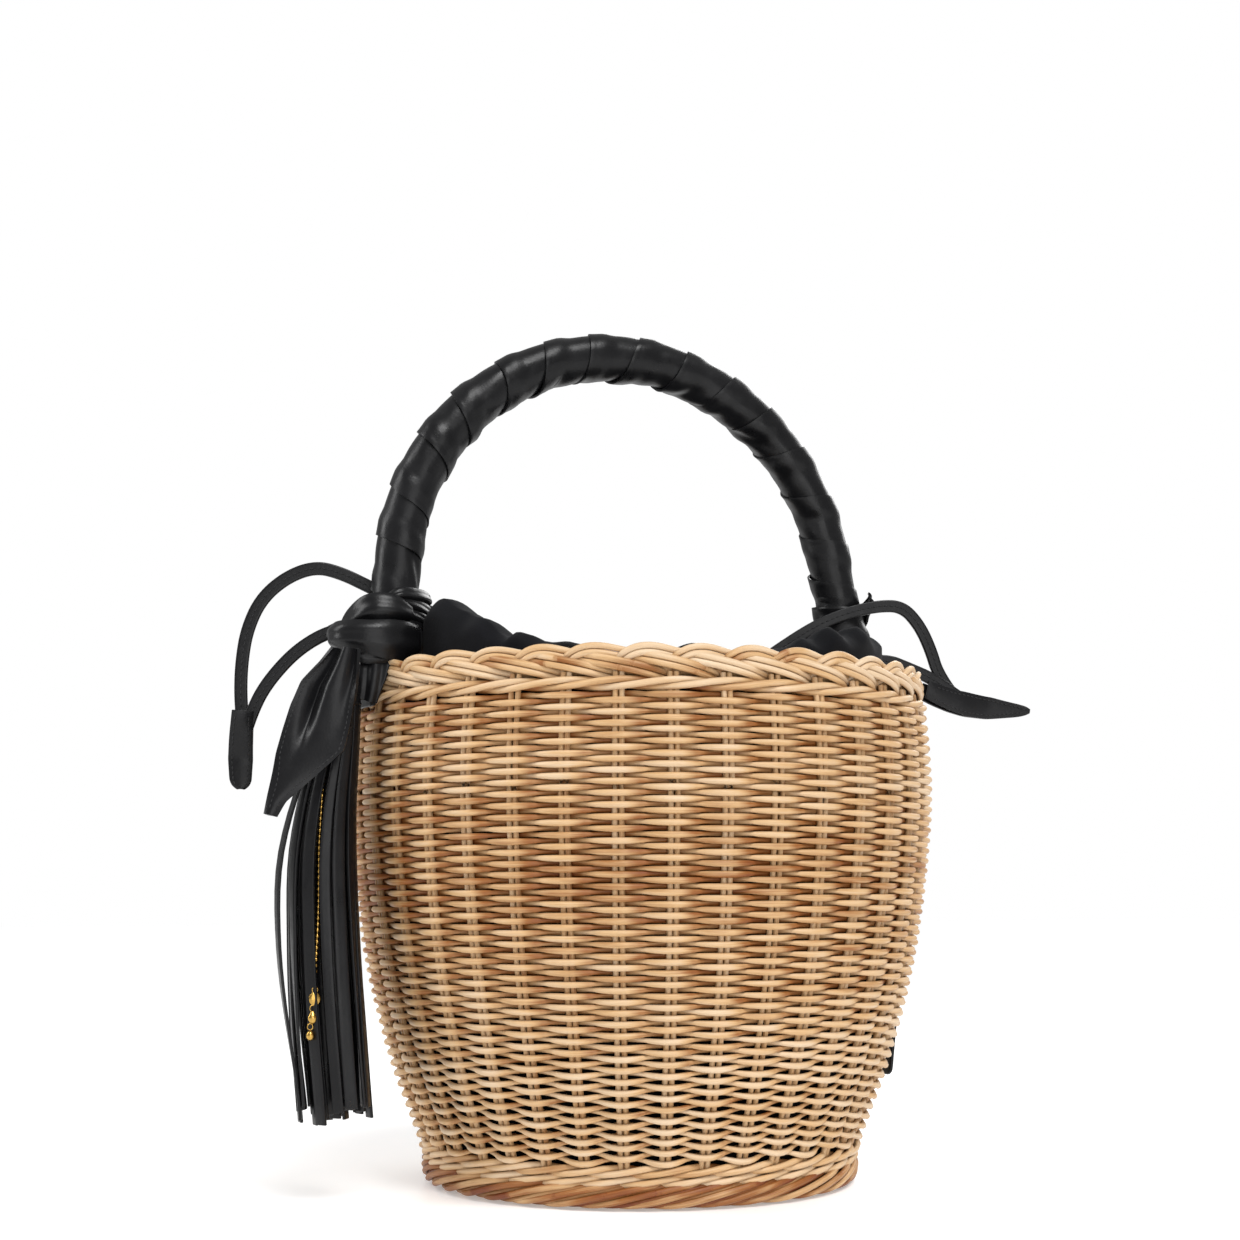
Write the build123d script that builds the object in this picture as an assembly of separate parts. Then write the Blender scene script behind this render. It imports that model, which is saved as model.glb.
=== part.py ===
"""A wicker bucket bag: cane basket, leather-wrapped arched handle, drawstring pouch, scarf knot and tassel.

Millimetres. +Z is up and the origin is the centre of the flat base. The handle stands in the XZ plane, with
the knot, the scarf tail and the tassel at its left foot, on the -X side, towards -Y.
"""
from build123d import *
import math
import os

# Basket of round cane
WALL_CURVE = [(91.0, 16.0), (102.3, 48.0), (111.7, 85.0), (117.6, 125.0), (119.6, 160.0), (117.3, 189.5)]
WALL_BOTTOM = WALL_CURVE[0][1]
WALL_TOP = WALL_CURVE[-1][1]
CANE = 2.2
SKIN = 1.7
STAKE_GAP = 2.2
STAKE_THICK = 2.0
STAKE_PAIRS = 37
STAKE_PITCH = 1.24
STAKE_ARC = 1.05
BASE_RADIUS = 82.2
BASE_WEAVE = 3.2
BASE_STICKS = 16
STICK_START = 9.0
STICK_END = 79.0
FOOT_OUTER = 89.8
FOOT_HEIGHT = 9.5
BASE_WALE_OUTER = 91.3
BASE_WALE_WIDTH = 5.6
TOP_WALE_OUTER = 118.0
TOP_WALE_WIDTH = 6.4
TOP_WALE_TOP = 194.0
BRAID_INNER = 105.5
BRAID_OUTER = 116.8
RIM_TOP = 205.0

# Handle: an arc between two slightly flared legs
ARCH_X = -6.5
ARCH_Z = 240.0
ARCH_RADIUS = 97.0
LEFT_FLARE = 4.0
RIGHT_FLARE = 12.0
HANDLE_FOOT = 207.6
CORE_RADIUS = 6.3
WRAP_INNER = 6.6
WRAP_OUTER = 9.4
PEG_RADIUS = 3.4
LEFT_PEG_LENGTH = 49.0
RIGHT_PEG_LENGTH = 42.0
PEG_CLEARANCE = 0.4

# Leather lashings over the rim at the handle's feet
LASHING_ARC = 22.0
LASHING_INNER = 103.3
LASHING_OUTER = 119.9
LASHING_LOW = 188.0
LASHING_TOP = 206.9
LEATHER = 1.5

# Drawstring pouch
POUCH_CURVE = [(83.0, 16.0), (95.0, 48.0), (107.5, 104.0), (108.6, 140.0), (103.0, 166.0), (98.0, 193.0)]
FABRIC = 1.2
POUCH_FLOOR = 5.6
COLLAR_RADIUS = 103.0
COLLAR_BOTTOM = 193.0
COLLAR_TOP = 209.0
LOBE_TOP = 220.0
LOBE_START = 42.0
MOUTH_X = 56.0
MOUTH_Y = 80.0
HEM = 2.5
COLLAR_CLEARANCE = 0.6
LOOP_SPACING = 8.0
LOOP_LOW = 196.5
LOOP_HEIGHT = 5.5

# Drawcords: flat leather straps that leave the pouch at each end, and hang in upright planes
STRAP_WIDTH = 5.2
STRAP_THICK = 2.2
STRAP_GAP = 0.6
LEFT_PLANE = (-110.0, 19.0, 165.0)
RIGHT_PLANE = (100.0, -13.5, -15.0)
LEFT_UPPER = [(-52, 217.5), (-40, 224.5), (-27, 229.5), (-13, 234), (-1, 239.5), (10.5, 245), (21, 247.5),
              (32.5, 243), (42.5, 234), (48, 221.5), (50, 208.5), (50.4, 197), (49.8, 187), (49.2, 180)]
LEFT_LOWER = [(-8.5, 215.8), (1.5, 222.5), (14, 222.3), (27.5, 214.5), (38.5, 202.5), (45, 191.5), (48, 182)]
RIGHT_UPPER = [(-43, 217.5), (-33, 224.5), (-20.5, 232), (-8, 237), (5, 240), (15.5, 240), (23, 232), (28, 221.5),
               (31.2, 211), (37, 203.5)]
RIGHT_LOWER = [(-5, 215), (6.5, 217.3), (18.5, 212.8), (29, 208.5), (38.5, 202)]
SLIT_LENGTH = 15.0
SLIT_SHIFT = 3.5
SLIT_ROOM = 9.0
TAB_LEAF = 1.3
LEFT_TAB = (49.4, 189.0, -88.0)
LEFT_TAB_SIZE = (31.0, 9.6)
RIGHT_TAB = (25.0, 203.8, -9.5)
RIGHT_TAB_SIZE = (47.5, 10.6)

# Scarf knot on the left leg
KNOT_LOW = 214.0
KNOT_HEIGHT = 21.0
KNOT_BAND = 13.0
KNOT_BODY = (-117.5, -13.5, 225.0)
KNOT_SIZE = (13.0, 10.5, 11.0)
HINGE_GAP = 0.9

# Tassel and scarf tail
TASSEL_X = -129.0
TASSEL_Y = -15.0
STRAP_TOP = 212.8
CAP_TOP = 202.6
CAP_BOTTOM = 185.0
CAP_RADIUS = 7.0
FRINGE_BOTTOM = 29.0
FRINGE_LEAN = -6.0
FRINGE_WIDTH = 3.2
FRINGE_THICK = 1.2
OUTER_STRIPS = 12
OUTER_SPREAD = (6.4, 13.8)
INNER_STRIPS = 8
INNER_SPREAD = (4.2, 8.8)
BALL_RADIUS = 1.1
BALL_PITCH = 2.5
BALL_COUNT = 36
CHARM_SIZES = [(5.0, 4.2), (4.2, 3.4), (3.6, 3.0)]
VIEW_ANGLE = -23.0
TAIL_TOP = (-110.4, -73.5, 205.0)
TAIL_TILT = 14.0
TAIL_THICK = 2.0
TAIL_OUTLINE = [(-5.0, 0.0), (5.0, 0.0), (3.8, -15.0), (0.6, -36.0), (-23.1, -61.0), (-27.4, -60.0),
                (-24.8, -44.5), (-21.9, -28.0), (-15.9, -9.0)]

# Label patch, a blank leather rectangle on the +X side
LABEL_WIDTH = 44.0
LABEL_HEIGHT = 38.0
LABEL_THICK = 1.8
LABEL_MIDDLE = 58.5
LABEL_STAND = 108.3
LABEL_LEAN = 6.7


def write(node, solids):
    """Write one node's solids to its STEP file."""
    solids = list(solids)
    shape = solids[0] if len(solids) == 1 else Compound(children=solids)
    shape.label = node
    export_step(shape, os.path.join("parts", node + ".step"))


def solids_of(shape):
    return list(shape.solids())


def upright(x, y, z, turn=0.0):
    """A plane at a point whose normal is horizontal: local X is turned from +X, and local Y is up."""
    turn_radians = math.radians(turn)
    across = Vector(math.cos(turn_radians), math.sin(turn_radians), 0)
    return Plane(origin=(x, y, z), x_dir=across, z_dir=across.cross(Vector(0, 0, 1)))


def ring(inner, outer, low, high, rounding):
    """A ring about Z with a rounded rectangular section."""
    section = Pos((inner + outer) / 2, (low + high) / 2) * RectangleRounded(outer - inner, high - low, rounding)
    return revolve(Plane.XZ * section, axis=Axis.Z)


def wall_section(curve, outer_inset, inner_inset):
    """The face between two insets of a curve of (radius, height) points."""
    outer = [(r - outer_inset, z) for r, z in curve]
    inner = [(r - inner_inset, z) for r, z in curve]
    outer_edge = Spline(*outer)
    inner_edge = Spline(*inner)
    top = Line(outer[-1], inner[-1])
    bottom = Line(inner[0], outer[0])
    return Plane.XZ * make_face([outer_edge, top, inner_edge, bottom])


def polar_copies(shape, count, start=0.0):
    return [Rot(0, 0, start + i * 360.0 / count) * shape for i in range(count)]


def make_basket():
    """The woven base, the wall and the two borders."""
    disc = Pos(0, 0, BASE_WEAVE / 2) * Cylinder(BASE_RADIUS, BASE_WEAVE)
    write("base_disc", [disc])
    stick = Pos((STICK_START + STICK_END) / 2, 0, BASE_WEAVE + CANE / 2) * Box(STICK_END - STICK_START, CANE, CANE)
    write("base_sticks", polar_copies(stick, BASE_STICKS))
    write("foot_border", [ring(BASE_RADIUS + 0.2, FOOT_OUTER, 0, FOOT_HEIGHT, 2.4)])
    write("base_wale", [ring(BASE_WALE_OUTER - BASE_WALE_WIDTH, BASE_WALE_OUTER, FOOT_HEIGHT, WALL_BOTTOM, 1.6)])

    weave_outer = revolve(wall_section(WALL_CURVE, 0, SKIN), axis=Axis.Z)
    weave_inner = revolve(wall_section(WALL_CURVE, SKIN + STAKE_GAP, 2 * SKIN + STAKE_GAP), axis=Axis.Z)
    write("weave_outer", [weave_outer])
    write("weave_inner", [weave_inner])
    stake_inset = SKIN + (STAKE_GAP - STAKE_THICK) / 2
    stake = revolve(wall_section(WALL_CURVE, stake_inset, stake_inset + STAKE_THICK), axis=Axis.Z,
                    revolution_arc=STAKE_ARC)
    pairs = polar_copies(stake, STAKE_PAIRS) + polar_copies(stake, STAKE_PAIRS, STAKE_PITCH)
    write("side_stakes", pairs)

    write("top_wale", [ring(TOP_WALE_OUTER - TOP_WALE_WIDTH, TOP_WALE_OUTER, WALL_TOP, TOP_WALE_TOP, 1.4)])
    braid = ring(BRAID_INNER, BRAID_OUTER, TOP_WALE_TOP, RIM_TOP, 3.0)
    braid -= peg("left", PEG_CLEARANCE)
    write("rim_braid", [braid])


def leg_end(side):
    """The foot of a leg's centreline and the direction down along it, in X and Z."""
    flare = math.radians(LEFT_FLARE if side == "left" else RIGHT_FLARE)
    sign = -1 if side == "left" else 1
    tangent_x = ARCH_X + sign * ARCH_RADIUS * math.cos(flare)
    tangent_z = ARCH_Z + ARCH_RADIUS * math.sin(flare)
    foot_x = tangent_x + sign * (tangent_z - HANDLE_FOOT) * math.tan(flare)
    down = Vector(sign * math.sin(flare), 0, -math.cos(flare))
    return Vector(tangent_x, 0, tangent_z), Vector(foot_x, 0, HANDLE_FOOT), down


def handle_sweep(section):
    """Sweep a section along the handle's centreline."""
    left_tangent, left_foot, left_down = leg_end("left")
    right_tangent, right_foot, _ = leg_end("right")
    crown = Vector(ARCH_X, 0, ARCH_Z + ARCH_RADIUS)
    path = Wire([
        Edge.make_line(left_foot, left_tangent),
        Edge.make_three_point_arc(left_tangent, crown, right_tangent),
        Edge.make_line(right_tangent, right_foot),
    ])
    start = Plane(origin=left_foot, x_dir=(0, 1, 0), z_dir=-left_down)
    return sweep(start * section, path=path)


def peg(side, clearance=0.0):
    """The thin lower end of a handle leg, which is pushed down inside the wall."""
    _, foot, down = leg_end(side)
    length = LEFT_PEG_LENGTH if side == "left" else RIGHT_PEG_LENGTH
    start = Plane(origin=foot - down * 2.0, x_dir=(0, 1, 0), z_dir=down)
    return extrude(start * Circle(PEG_RADIUS + clearance), length + 2.0)


def leg_cylinder(side, radius, low, length):
    """A cylinder about a leg's centreline, from a distance above its foot."""
    _, foot, down = leg_end(side)
    start = Plane(origin=foot - down * low, x_dir=(0, 1, 0), z_dir=-down)
    return extrude(start * Circle(radius), length)


def make_handle():
    core = handle_sweep(Circle(CORE_RADIUS)) + peg("left") + peg("right")
    write("handle_core", solids_of(core))
    wrap = handle_sweep(Circle(WRAP_OUTER)) - handle_sweep(Circle(WRAP_INNER))
    write("handle_wrap", solids_of(wrap))


def make_lashing(side):
    """A leather saddle over the rim, with a hole for the leg."""
    width = LASHING_OUTER - LASHING_INNER
    outline = Pos(LASHING_INNER + width / 2, (LASHING_LOW + LASHING_TOP) / 2) * Rectangle(
        width, LASHING_TOP - LASHING_LOW)
    inside = Pos(LASHING_INNER + width / 2, (LASHING_LOW + LASHING_TOP) / 2 - LEATHER) * Rectangle(
        width - 2 * LEATHER - 0.1, LASHING_TOP - LASHING_LOW)
    saddle = revolve(Plane.XZ * (outline - inside), axis=Axis.Z, revolution_arc=LASHING_ARC)
    middle = 180.0 if side == "left" else 0.0
    saddle = Rot(0, 0, middle - LASHING_ARC / 2) * saddle
    saddle -= peg(side, PEG_CLEARANCE)
    saddle -= leg_cylinder(side, WRAP_OUTER + 0.2, 0, 20)
    solids = sorted(solids_of(saddle), key=lambda s: s.volume)
    write("lashing_" + side, [solids[-1]])


def mouth_ring(low, high, outer):
    """A ring whose outside is round and whose opening is the drawn, oval mouth."""
    blank = Pos(0, 0, low) * extrude(Circle(outer), high - low)
    return blank - Pos(0, 0, low) * extrude(Ellipse(MOUTH_X, MOUTH_Y), high - low)


def make_pouch():
    side = revolve(wall_section(POUCH_CURVE, 0, FABRIC), axis=Axis.Z)
    write("pouch_side", [side])
    floor = Pos(0, 0, POUCH_FLOOR + FABRIC / 2) * Cylinder(POUCH_CURVE[0][0] - 2.2, FABRIC)
    write("pouch_bottom", [floor])

    collar = mouth_ring(COLLAR_BOTTOM, COLLAR_TOP, COLLAR_RADIUS)
    lobes = mouth_ring(COLLAR_TOP, LOBE_TOP, COLLAR_RADIUS)
    lobes -= Pos(0, 0, LOBE_TOP) * Box(2 * LOBE_START, 4 * COLLAR_RADIUS, 4 * LOBE_TOP)
    collar += lobes
    for side_name in ("left", "right"):
        collar -= peg(side_name, PEG_CLEARANCE)
        collar -= leg_cylinder(side_name, WRAP_OUTER + COLLAR_CLEARANCE, -2, 40)
    collar -= leg_cylinder("left", KNOT_BAND + COLLAR_CLEARANCE, KNOT_LOW - HANDLE_FOOT - 1, 40)
    for inset in (0.0, LOOP_SPACING):
        collar -= channel_loop(inset, STRAP_GAP / 2)
    for plane, route in strap_routes().values():
        out, up = route[0]
        slit = Box(SLIT_LENGTH, STRAP_WIDTH + SLIT_ROOM, STRAP_THICK + 2 * STRAP_GAP)
        collar -= plane * Pos(out + SLIT_SHIFT, up + 2.5, 0) * slit
    solids = sorted(solids_of(collar), key=lambda s: s.volume)
    write("pouch_collar", [solids[-1]])


def channel_loop(inset, clearance=0.0):
    """A drawcord's hidden run, round the mouth inside the collar."""
    inner = HEM + inset - clearance
    outer = HEM + inset + STRAP_THICK + clearance
    height = LOOP_HEIGHT + 2 * clearance
    base = Pos(0, 0, LOOP_LOW - clearance)
    loop = base * extrude(Ellipse(MOUTH_X + outer, MOUTH_Y + outer), height)
    return loop - base * extrude(Ellipse(MOUTH_X + inner, MOUTH_Y + inner), height)


def strap_plane(side, layers=0.0):
    """The upright plane of one side's straps, moved by a number of strap layers towards -Y."""
    x, y, turn = LEFT_PLANE if side == "left" else RIGHT_PLANE
    plane = upright(x, y, 0, turn)
    towards_front = -1 if plane.z_dir.Y > 0 else 1
    return plane.offset(towards_front * layers * (STRAP_THICK + 0.1))


def strap_routes():
    """Each strap's plane and its route of (distance out, height) points in that plane."""
    return {
        "drawcord_left_upper": (strap_plane("left"), LEFT_UPPER),
        "drawcord_left_lower": (strap_plane("left", 1.0), LEFT_LOWER),
        "drawcord_right_upper": (strap_plane("right"), RIGHT_UPPER),
        "drawcord_right_lower": (strap_plane("right", 1.0), RIGHT_LOWER),
    }


def corner_radii(points):
    """The largest tangent arc that each corner's two runs allow."""
    radii = []
    for before, corner, after in zip(points, points[1:], points[2:]):
        run_in = Vector(corner) - Vector(before)
        run_out = Vector(after) - Vector(corner)
        turn = math.radians(run_in.get_angle(run_out))
        radii.append(0.45 * min(run_in.length, run_out.length) / math.tan(turn / 2))
    return radii


def make_strap(node, plane, route):
    """A flat strap along straight runs joined by tangent arcs."""
    points = [plane.from_local_coords(Vector(across, up, 0)) for across, up in route]
    radii = corner_radii(points)
    path = FilletPolyline(*points, radius=radii)
    start = Plane(origin=points[0], x_dir=plane.z_dir, z_dir=points[1] - points[0])
    strap = sweep(start * Rectangle(STRAP_THICK, STRAP_WIDTH), path=path)
    volume = path.length * STRAP_THICK * STRAP_WIDTH
    print(node, "length %.1f" % path.length, "volume ratio %.3f" % (strap.volume / volume),
          "radii", ["%.0f" % r for r in radii])
    write(node, solids_of(strap))


def make_tab(side, end, angle, size):
    """Two leather leaves stitched over the strap ends, each tapering to a clipped point."""
    length, width = size
    half = width / 2
    plane = strap_plane(side, 0.5)
    gap = STRAP_THICK + 0.1
    outline = [(0, 0.62 * half), (0.45 * length, half), (0.97 * length, 0.34 * half),
               (length, -0.2 * half), (0.8 * length, -0.66 * half), (0.4 * length, -half), (0, -0.62 * half)]
    place = Plane(origin=plane.from_local_coords(Vector(end[0], end[1], 0)), x_dir=plane.x_dir, z_dir=plane.z_dir)
    above, below = ("back", "front") if plane.z_dir.Y > 0 else ("front", "back")
    for name, offset in ((above, gap), (below, -gap - TAB_LEAF)):
        leaf = extrude(Pos(0, 0, offset) * Rot(0, 0, angle) * make_face(Polyline(*outline, close=True)), TAB_LEAF)
        write("tab_%s_%s" % (side, name), [place * leaf])


def make_drawcords():
    for node, (plane, route) in strap_routes().items():
        make_strap(node, plane, route)
    write("drawcord_left_channel", solids_of(channel_loop(0.0)))
    write("drawcord_right_channel", solids_of(channel_loop(LOOP_SPACING)))
    make_tab("left", LEFT_TAB[:2], LEFT_TAB[2], LEFT_TAB_SIZE)
    make_tab("right", RIGHT_TAB[:2], RIGHT_TAB[2], RIGHT_TAB_SIZE)


def make_knot():
    """A wound band about the left leg with the knot's body in front of it."""
    lift = KNOT_LOW - HANDLE_FOOT
    band = leg_cylinder("left", KNOT_BAND, lift, KNOT_HEIGHT)
    body = Pos(*KNOT_BODY) * scale(Sphere(1.0), by=KNOT_SIZE)
    knot = band + body
    knot -= leg_cylinder("left", WRAP_OUTER + 0.05, lift - 12, KNOT_HEIGHT + 40)
    write("scarf_knot", [sorted(solids_of(knot), key=lambda s: s.volume)[-1]])


def fringe_strip(angle, top_radius, bottom_radius, low):
    """One flat strip, slanting from the cap to its place in the spread."""
    around = math.radians(angle)
    outward = Vector(math.cos(around), math.sin(around), 0)
    top = Vector(TASSEL_X, TASSEL_Y, CAP_BOTTOM - 0.2) + outward * top_radius
    bottom = Vector(TASSEL_X + FRINGE_LEAN, TASSEL_Y - 1.5, low) + outward * bottom_radius
    along = bottom - top
    start = Plane(origin=top, x_dir=outward.cross(along), z_dir=along)
    return extrude(start * Rectangle(FRINGE_WIDTH, FRINGE_THICK), along.length)


def fringe_row(count, spread, phase, lift):
    strips = []
    for i in range(count):
        low = FRINGE_BOTTOM + lift * (1 + math.sin(2.4 * i)) / 2
        strips.append(fringe_strip(phase + i * 360.0 / count, spread[0], spread[1], low))
    return strips


def make_tassel():
    hanger_height = STRAP_TOP - CAP_TOP - HINGE_GAP
    hanger = Pos(TASSEL_X + 2, TASSEL_Y, STRAP_TOP - hanger_height / 2) * Box(5.0, 2.0, hanger_height)
    write("tassel_hanger", [hanger])
    cap = Pos(TASSEL_X, TASSEL_Y, (CAP_TOP + CAP_BOTTOM) / 2) * Cylinder(CAP_RADIUS, CAP_TOP - CAP_BOTTOM)
    cap = chamfer(cap.edges().group_by(Axis.Z)[-1], 2.4)
    write("tassel_cap", solids_of(cap))
    write("fringe_outer", fringe_row(OUTER_STRIPS, OUTER_SPREAD, 0, 6.0))
    write("fringe_inner", fringe_row(INNER_STRIPS, INNER_SPREAD, 13, 5.0))

    balls = []
    for i in range(BALL_COUNT):
        z = CAP_BOTTOM - 2.0 - i * BALL_PITCH
        x = TASSEL_X + FRINGE_LEAN * (CAP_BOTTOM - z) / (CAP_BOTTOM - FRINGE_BOTTOM)
        balls.append(Pos(x, TASSEL_Y, z) * Sphere(BALL_RADIUS))
    write("ball_chain", balls)
    charms = []
    z = CAP_BOTTOM - 2.0 - BALL_COUNT * BALL_PITCH
    for width, height in CHARM_SIZES:
        z -= height / 2 + 0.4
        x = TASSEL_X + FRINGE_LEAN * (CAP_BOTTOM - z) / (CAP_BOTTOM - FRINGE_BOTTOM)
        charms.append(Pos(x, TASSEL_Y, z) * Box(width, 1.2, height))
        z -= height / 2
    write("charms", charms)


def make_tail():
    """The scarf's loose end: a flat, pointed leather flap in front of the tassel."""
    turn = math.radians(VIEW_ANGLE)
    across = Vector(math.cos(turn), math.sin(turn), 0)
    away = Vector(-math.sin(turn), math.cos(turn), 0)
    lateral, depth, top = TAIL_TOP
    origin = across * lateral + away * depth + Vector(0, 0, top)
    facing = Plane(origin=origin, x_dir=across, z_dir=-away)
    tilted = facing * Rot(-TAIL_TILT, 0, 0)
    tail = extrude(tilted * make_face(Polyline(*TAIL_OUTLINE, close=True)), TAIL_THICK)
    write("scarf_tail", solids_of(tail))


def make_label():
    """A flat leather patch, sewn on along its top edge, so that its sides and foot stand off the wall."""
    plate = Box(LABEL_THICK, LABEL_WIDTH, LABEL_HEIGHT)
    place = Pos(LABEL_STAND + LABEL_THICK / 2, 0, LABEL_MIDDLE) * Rot(0, LABEL_LEAN, 0)
    write("label_patch", [place * plate])


def main():
    os.makedirs("parts", exist_ok=True)
    make_basket()
    make_handle()
    make_lashing("left")
    make_lashing("right")
    make_pouch()
    make_drawcords()
    make_knot()
    make_tassel()
    make_tail()
    make_label()


main()
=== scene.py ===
"""A wicker bucket bag: woven cane basket, wrapped handle, drawstring pouch, scarf knot and tassel."""
import math

import bmesh
import bpy
import numpy as np
from mathutils import Euler, Matrix, Vector, noise


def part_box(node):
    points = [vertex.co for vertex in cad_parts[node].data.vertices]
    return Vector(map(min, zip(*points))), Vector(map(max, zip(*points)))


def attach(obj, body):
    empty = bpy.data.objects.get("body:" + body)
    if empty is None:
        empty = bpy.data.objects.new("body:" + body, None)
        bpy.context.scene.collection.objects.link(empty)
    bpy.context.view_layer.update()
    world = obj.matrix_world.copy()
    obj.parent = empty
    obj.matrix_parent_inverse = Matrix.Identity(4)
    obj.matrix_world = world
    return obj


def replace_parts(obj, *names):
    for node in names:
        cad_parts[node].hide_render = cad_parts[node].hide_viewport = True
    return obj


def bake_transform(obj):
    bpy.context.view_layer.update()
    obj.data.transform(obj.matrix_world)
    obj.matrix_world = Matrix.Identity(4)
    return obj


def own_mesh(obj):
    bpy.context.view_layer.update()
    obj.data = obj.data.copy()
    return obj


bl_info = {
    "name": "Wicker Bucket Bag",
    "version": (1, 0, 0),
    "blender": (4, 5, 0),
    "location": "View3D > Sidebar > Basket",
    "description": "Builds a wicker bucket bag round its fixed frame",
    "category": "Object",
}

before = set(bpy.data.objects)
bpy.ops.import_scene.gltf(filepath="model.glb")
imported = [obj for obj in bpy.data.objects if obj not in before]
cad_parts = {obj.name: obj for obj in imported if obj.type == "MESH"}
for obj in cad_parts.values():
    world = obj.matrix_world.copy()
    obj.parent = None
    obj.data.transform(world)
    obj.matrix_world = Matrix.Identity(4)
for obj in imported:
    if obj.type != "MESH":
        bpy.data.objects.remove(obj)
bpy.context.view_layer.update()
MM = 0.001
TURN = 2 * math.pi
EDGE_ANGLE = math.radians(50)
WEAVE_LOW = 0.0172
WEAVE_HIGH = 0.1885


# ---------------------------------------------------------------- sizes and colours

class BasketCane(bpy.types.PropertyGroup):
    """Sizes and colours of the woven cane."""
    stakes: bpy.props.IntProperty(name="Stakes", description="Pairs of upright canes", default=37)
    rows: bpy.props.IntProperty(name="Rows", description="Rounds of the weaver up the wall", default=83)
    weaver: bpy.props.FloatProperty(name="Weaver", description="Radius of the weaver cane", default=0.00124,
                                    unit="LENGTH")
    stake: bpy.props.FloatProperty(name="Stake", description="Radius of a stake cane", default=0.00112,
                                   unit="LENGTH")
    swing: bpy.props.FloatProperty(name="Swing", description="How far the weaver swings in and out",
                                   default=0.00225, unit="LENGTH")
    light: bpy.props.FloatVectorProperty(name="Light cane", description="Palest cane", subtype="COLOR",
                                         default=(0.64, 0.485, 0.325))
    middle: bpy.props.FloatVectorProperty(name="Honey cane", description="Usual cane", subtype="COLOR",
                                          default=(0.55, 0.345, 0.165))
    dark: bpy.props.FloatVectorProperty(name="Dark cane", description="Brown streaks", subtype="COLOR",
                                        default=(0.27, 0.100, 0.022))


class BagLeather(bpy.types.PropertyGroup):
    """Sizes and colours of the leather, cloth and metal."""
    wrap_pitch: bpy.props.FloatProperty(name="Wrap pitch", description="Handle length covered by one turn",
                                        default=0.0205, unit="LENGTH")
    wrap_thick: bpy.props.FloatProperty(name="Wrap thickness", description="Thickness of the wrapping band",
                                        default=0.0009, unit="LENGTH")
    leather: bpy.props.FloatVectorProperty(name="Leather", description="Black leather", subtype="COLOR",
                                           default=(0.0052, 0.0052, 0.0058))
    cloth: bpy.props.FloatVectorProperty(name="Cloth", description="Pouch cloth", subtype="COLOR",
                                         default=(0.0032, 0.0034, 0.0045))
    gold: bpy.props.FloatVectorProperty(name="Gold", description="Chain and charms", subtype="COLOR",
                                        default=(0.50, 0.31, 0.08))


# ---------------------------------------------------------------- helpers

def link(obj):
    bpy.context.scene.collection.objects.link(obj)
    return obj


def remove(obj):
    data = obj.data
    bpy.data.objects.remove(obj)
    if data.users == 0:
        (bpy.data.meshes if isinstance(data, bpy.types.Mesh) else bpy.data.curves).remove(data)


def smoothstep(low, high, value):
    t = np.clip((value - low) / (high - low), 0, 1)
    return t * t * (3 - 2 * t)


def canes(name, strands, sides, material, body="basket", cyclic=False, kind="POLY", resolution=3):
    """Round canes along strands; a strand is (points, radii, tone), where tone is the cane's own tone with painted
    shade added. Each vertex keeps its place in its cane.
    """
    curve = bpy.data.curves.new(name, "CURVE")
    curve.dimensions = "3D"
    curve.twist_mode = "Z_UP"
    curve.bevel_depth = 1.0
    curve.bevel_resolution = (sides - 4) // 2
    curve.use_fill_caps = not cyclic
    curve.resolution_u = resolution
    for points, radii, _ in strands:
        points = np.asarray(points, float)
        radii = np.broadcast_to(np.asarray(radii, float), (len(points),))
        spline = curve.splines.new(kind)
        spline.points.add(len(points) - 1)
        spline.points.foreach_set("co", np.hstack([points, np.ones((len(points), 1))]).ravel())
        spline.points.foreach_set("radius", radii)
        spline.use_cyclic_u = cyclic
        if kind == "NURBS":
            spline.order_u = 4
            spline.use_endpoint_u = not cyclic
    holder = link(bpy.data.objects.new(name + "_path", curve))
    bpy.context.view_layer.update()
    mesh = bpy.data.meshes.new_from_object(holder.evaluated_get(bpy.context.evaluated_depsgraph_get()))
    remove(holder)
    mesh.name = name
    grain, tone = strand_marks(mesh, strands, sides, kind)
    mesh.attributes.new("grain", "FLOAT_VECTOR", "POINT").data.foreach_set("vector", grain.ravel())
    mesh.attributes.new("tone", "FLOAT", "POINT").data.foreach_set("value", tone)
    return finish_piece(name, mesh, material, body)


def strand_marks(mesh, strands, sides, kind):
    """For each vertex, its length along its cane with its angle round it, and the cane's tone, which carries
    painted shade as well as the cane's own tone.
    """
    places = np.empty(len(mesh.vertices) * 3)
    mesh.vertices.foreach_get("co", places)
    places = places.reshape(-1, sides, 3)
    if kind == "POLY":
        counts = [len(points) for points, _, _ in strands]
    else:
        counts = [len(places) // len(strands)] * len(strands)
    grain = np.empty((len(places), sides, 3))
    tone = np.empty((len(places), sides))
    around = np.arange(sides) * TURN / sides
    start = 0
    for number, (count, (_, _, cane_tone)) in enumerate(zip(counts, strands)):
        middles = places[start:start + count].mean(axis=1)
        steps = np.linalg.norm(np.diff(middles, axis=0), axis=1)
        length = np.concatenate([[0], np.cumsum(steps)])
        grain[start:start + count, :, 0] = length[:, None] + number * 0.37
        grain[start:start + count, :, 1] = np.cos(around)
        grain[start:start + count, :, 2] = np.sin(around)
        own = np.atleast_1d(np.asarray(cane_tone, float))
        tones = np.interp(np.linspace(0, 1, count), np.linspace(0, 1, len(own)), own)
        tone[start:start + count] = tones[:, None]
        start += count
    return grain.reshape(-1, 3), tone.ravel()


def finish_piece(name, mesh, material, body):
    mesh.polygons.foreach_set("use_smooth", [True] * len(mesh.polygons))
    mesh.materials.clear()
    mesh.materials.append(material)
    piece = link(bpy.data.objects.new(name, mesh))
    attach(piece, body)
    return piece


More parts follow.
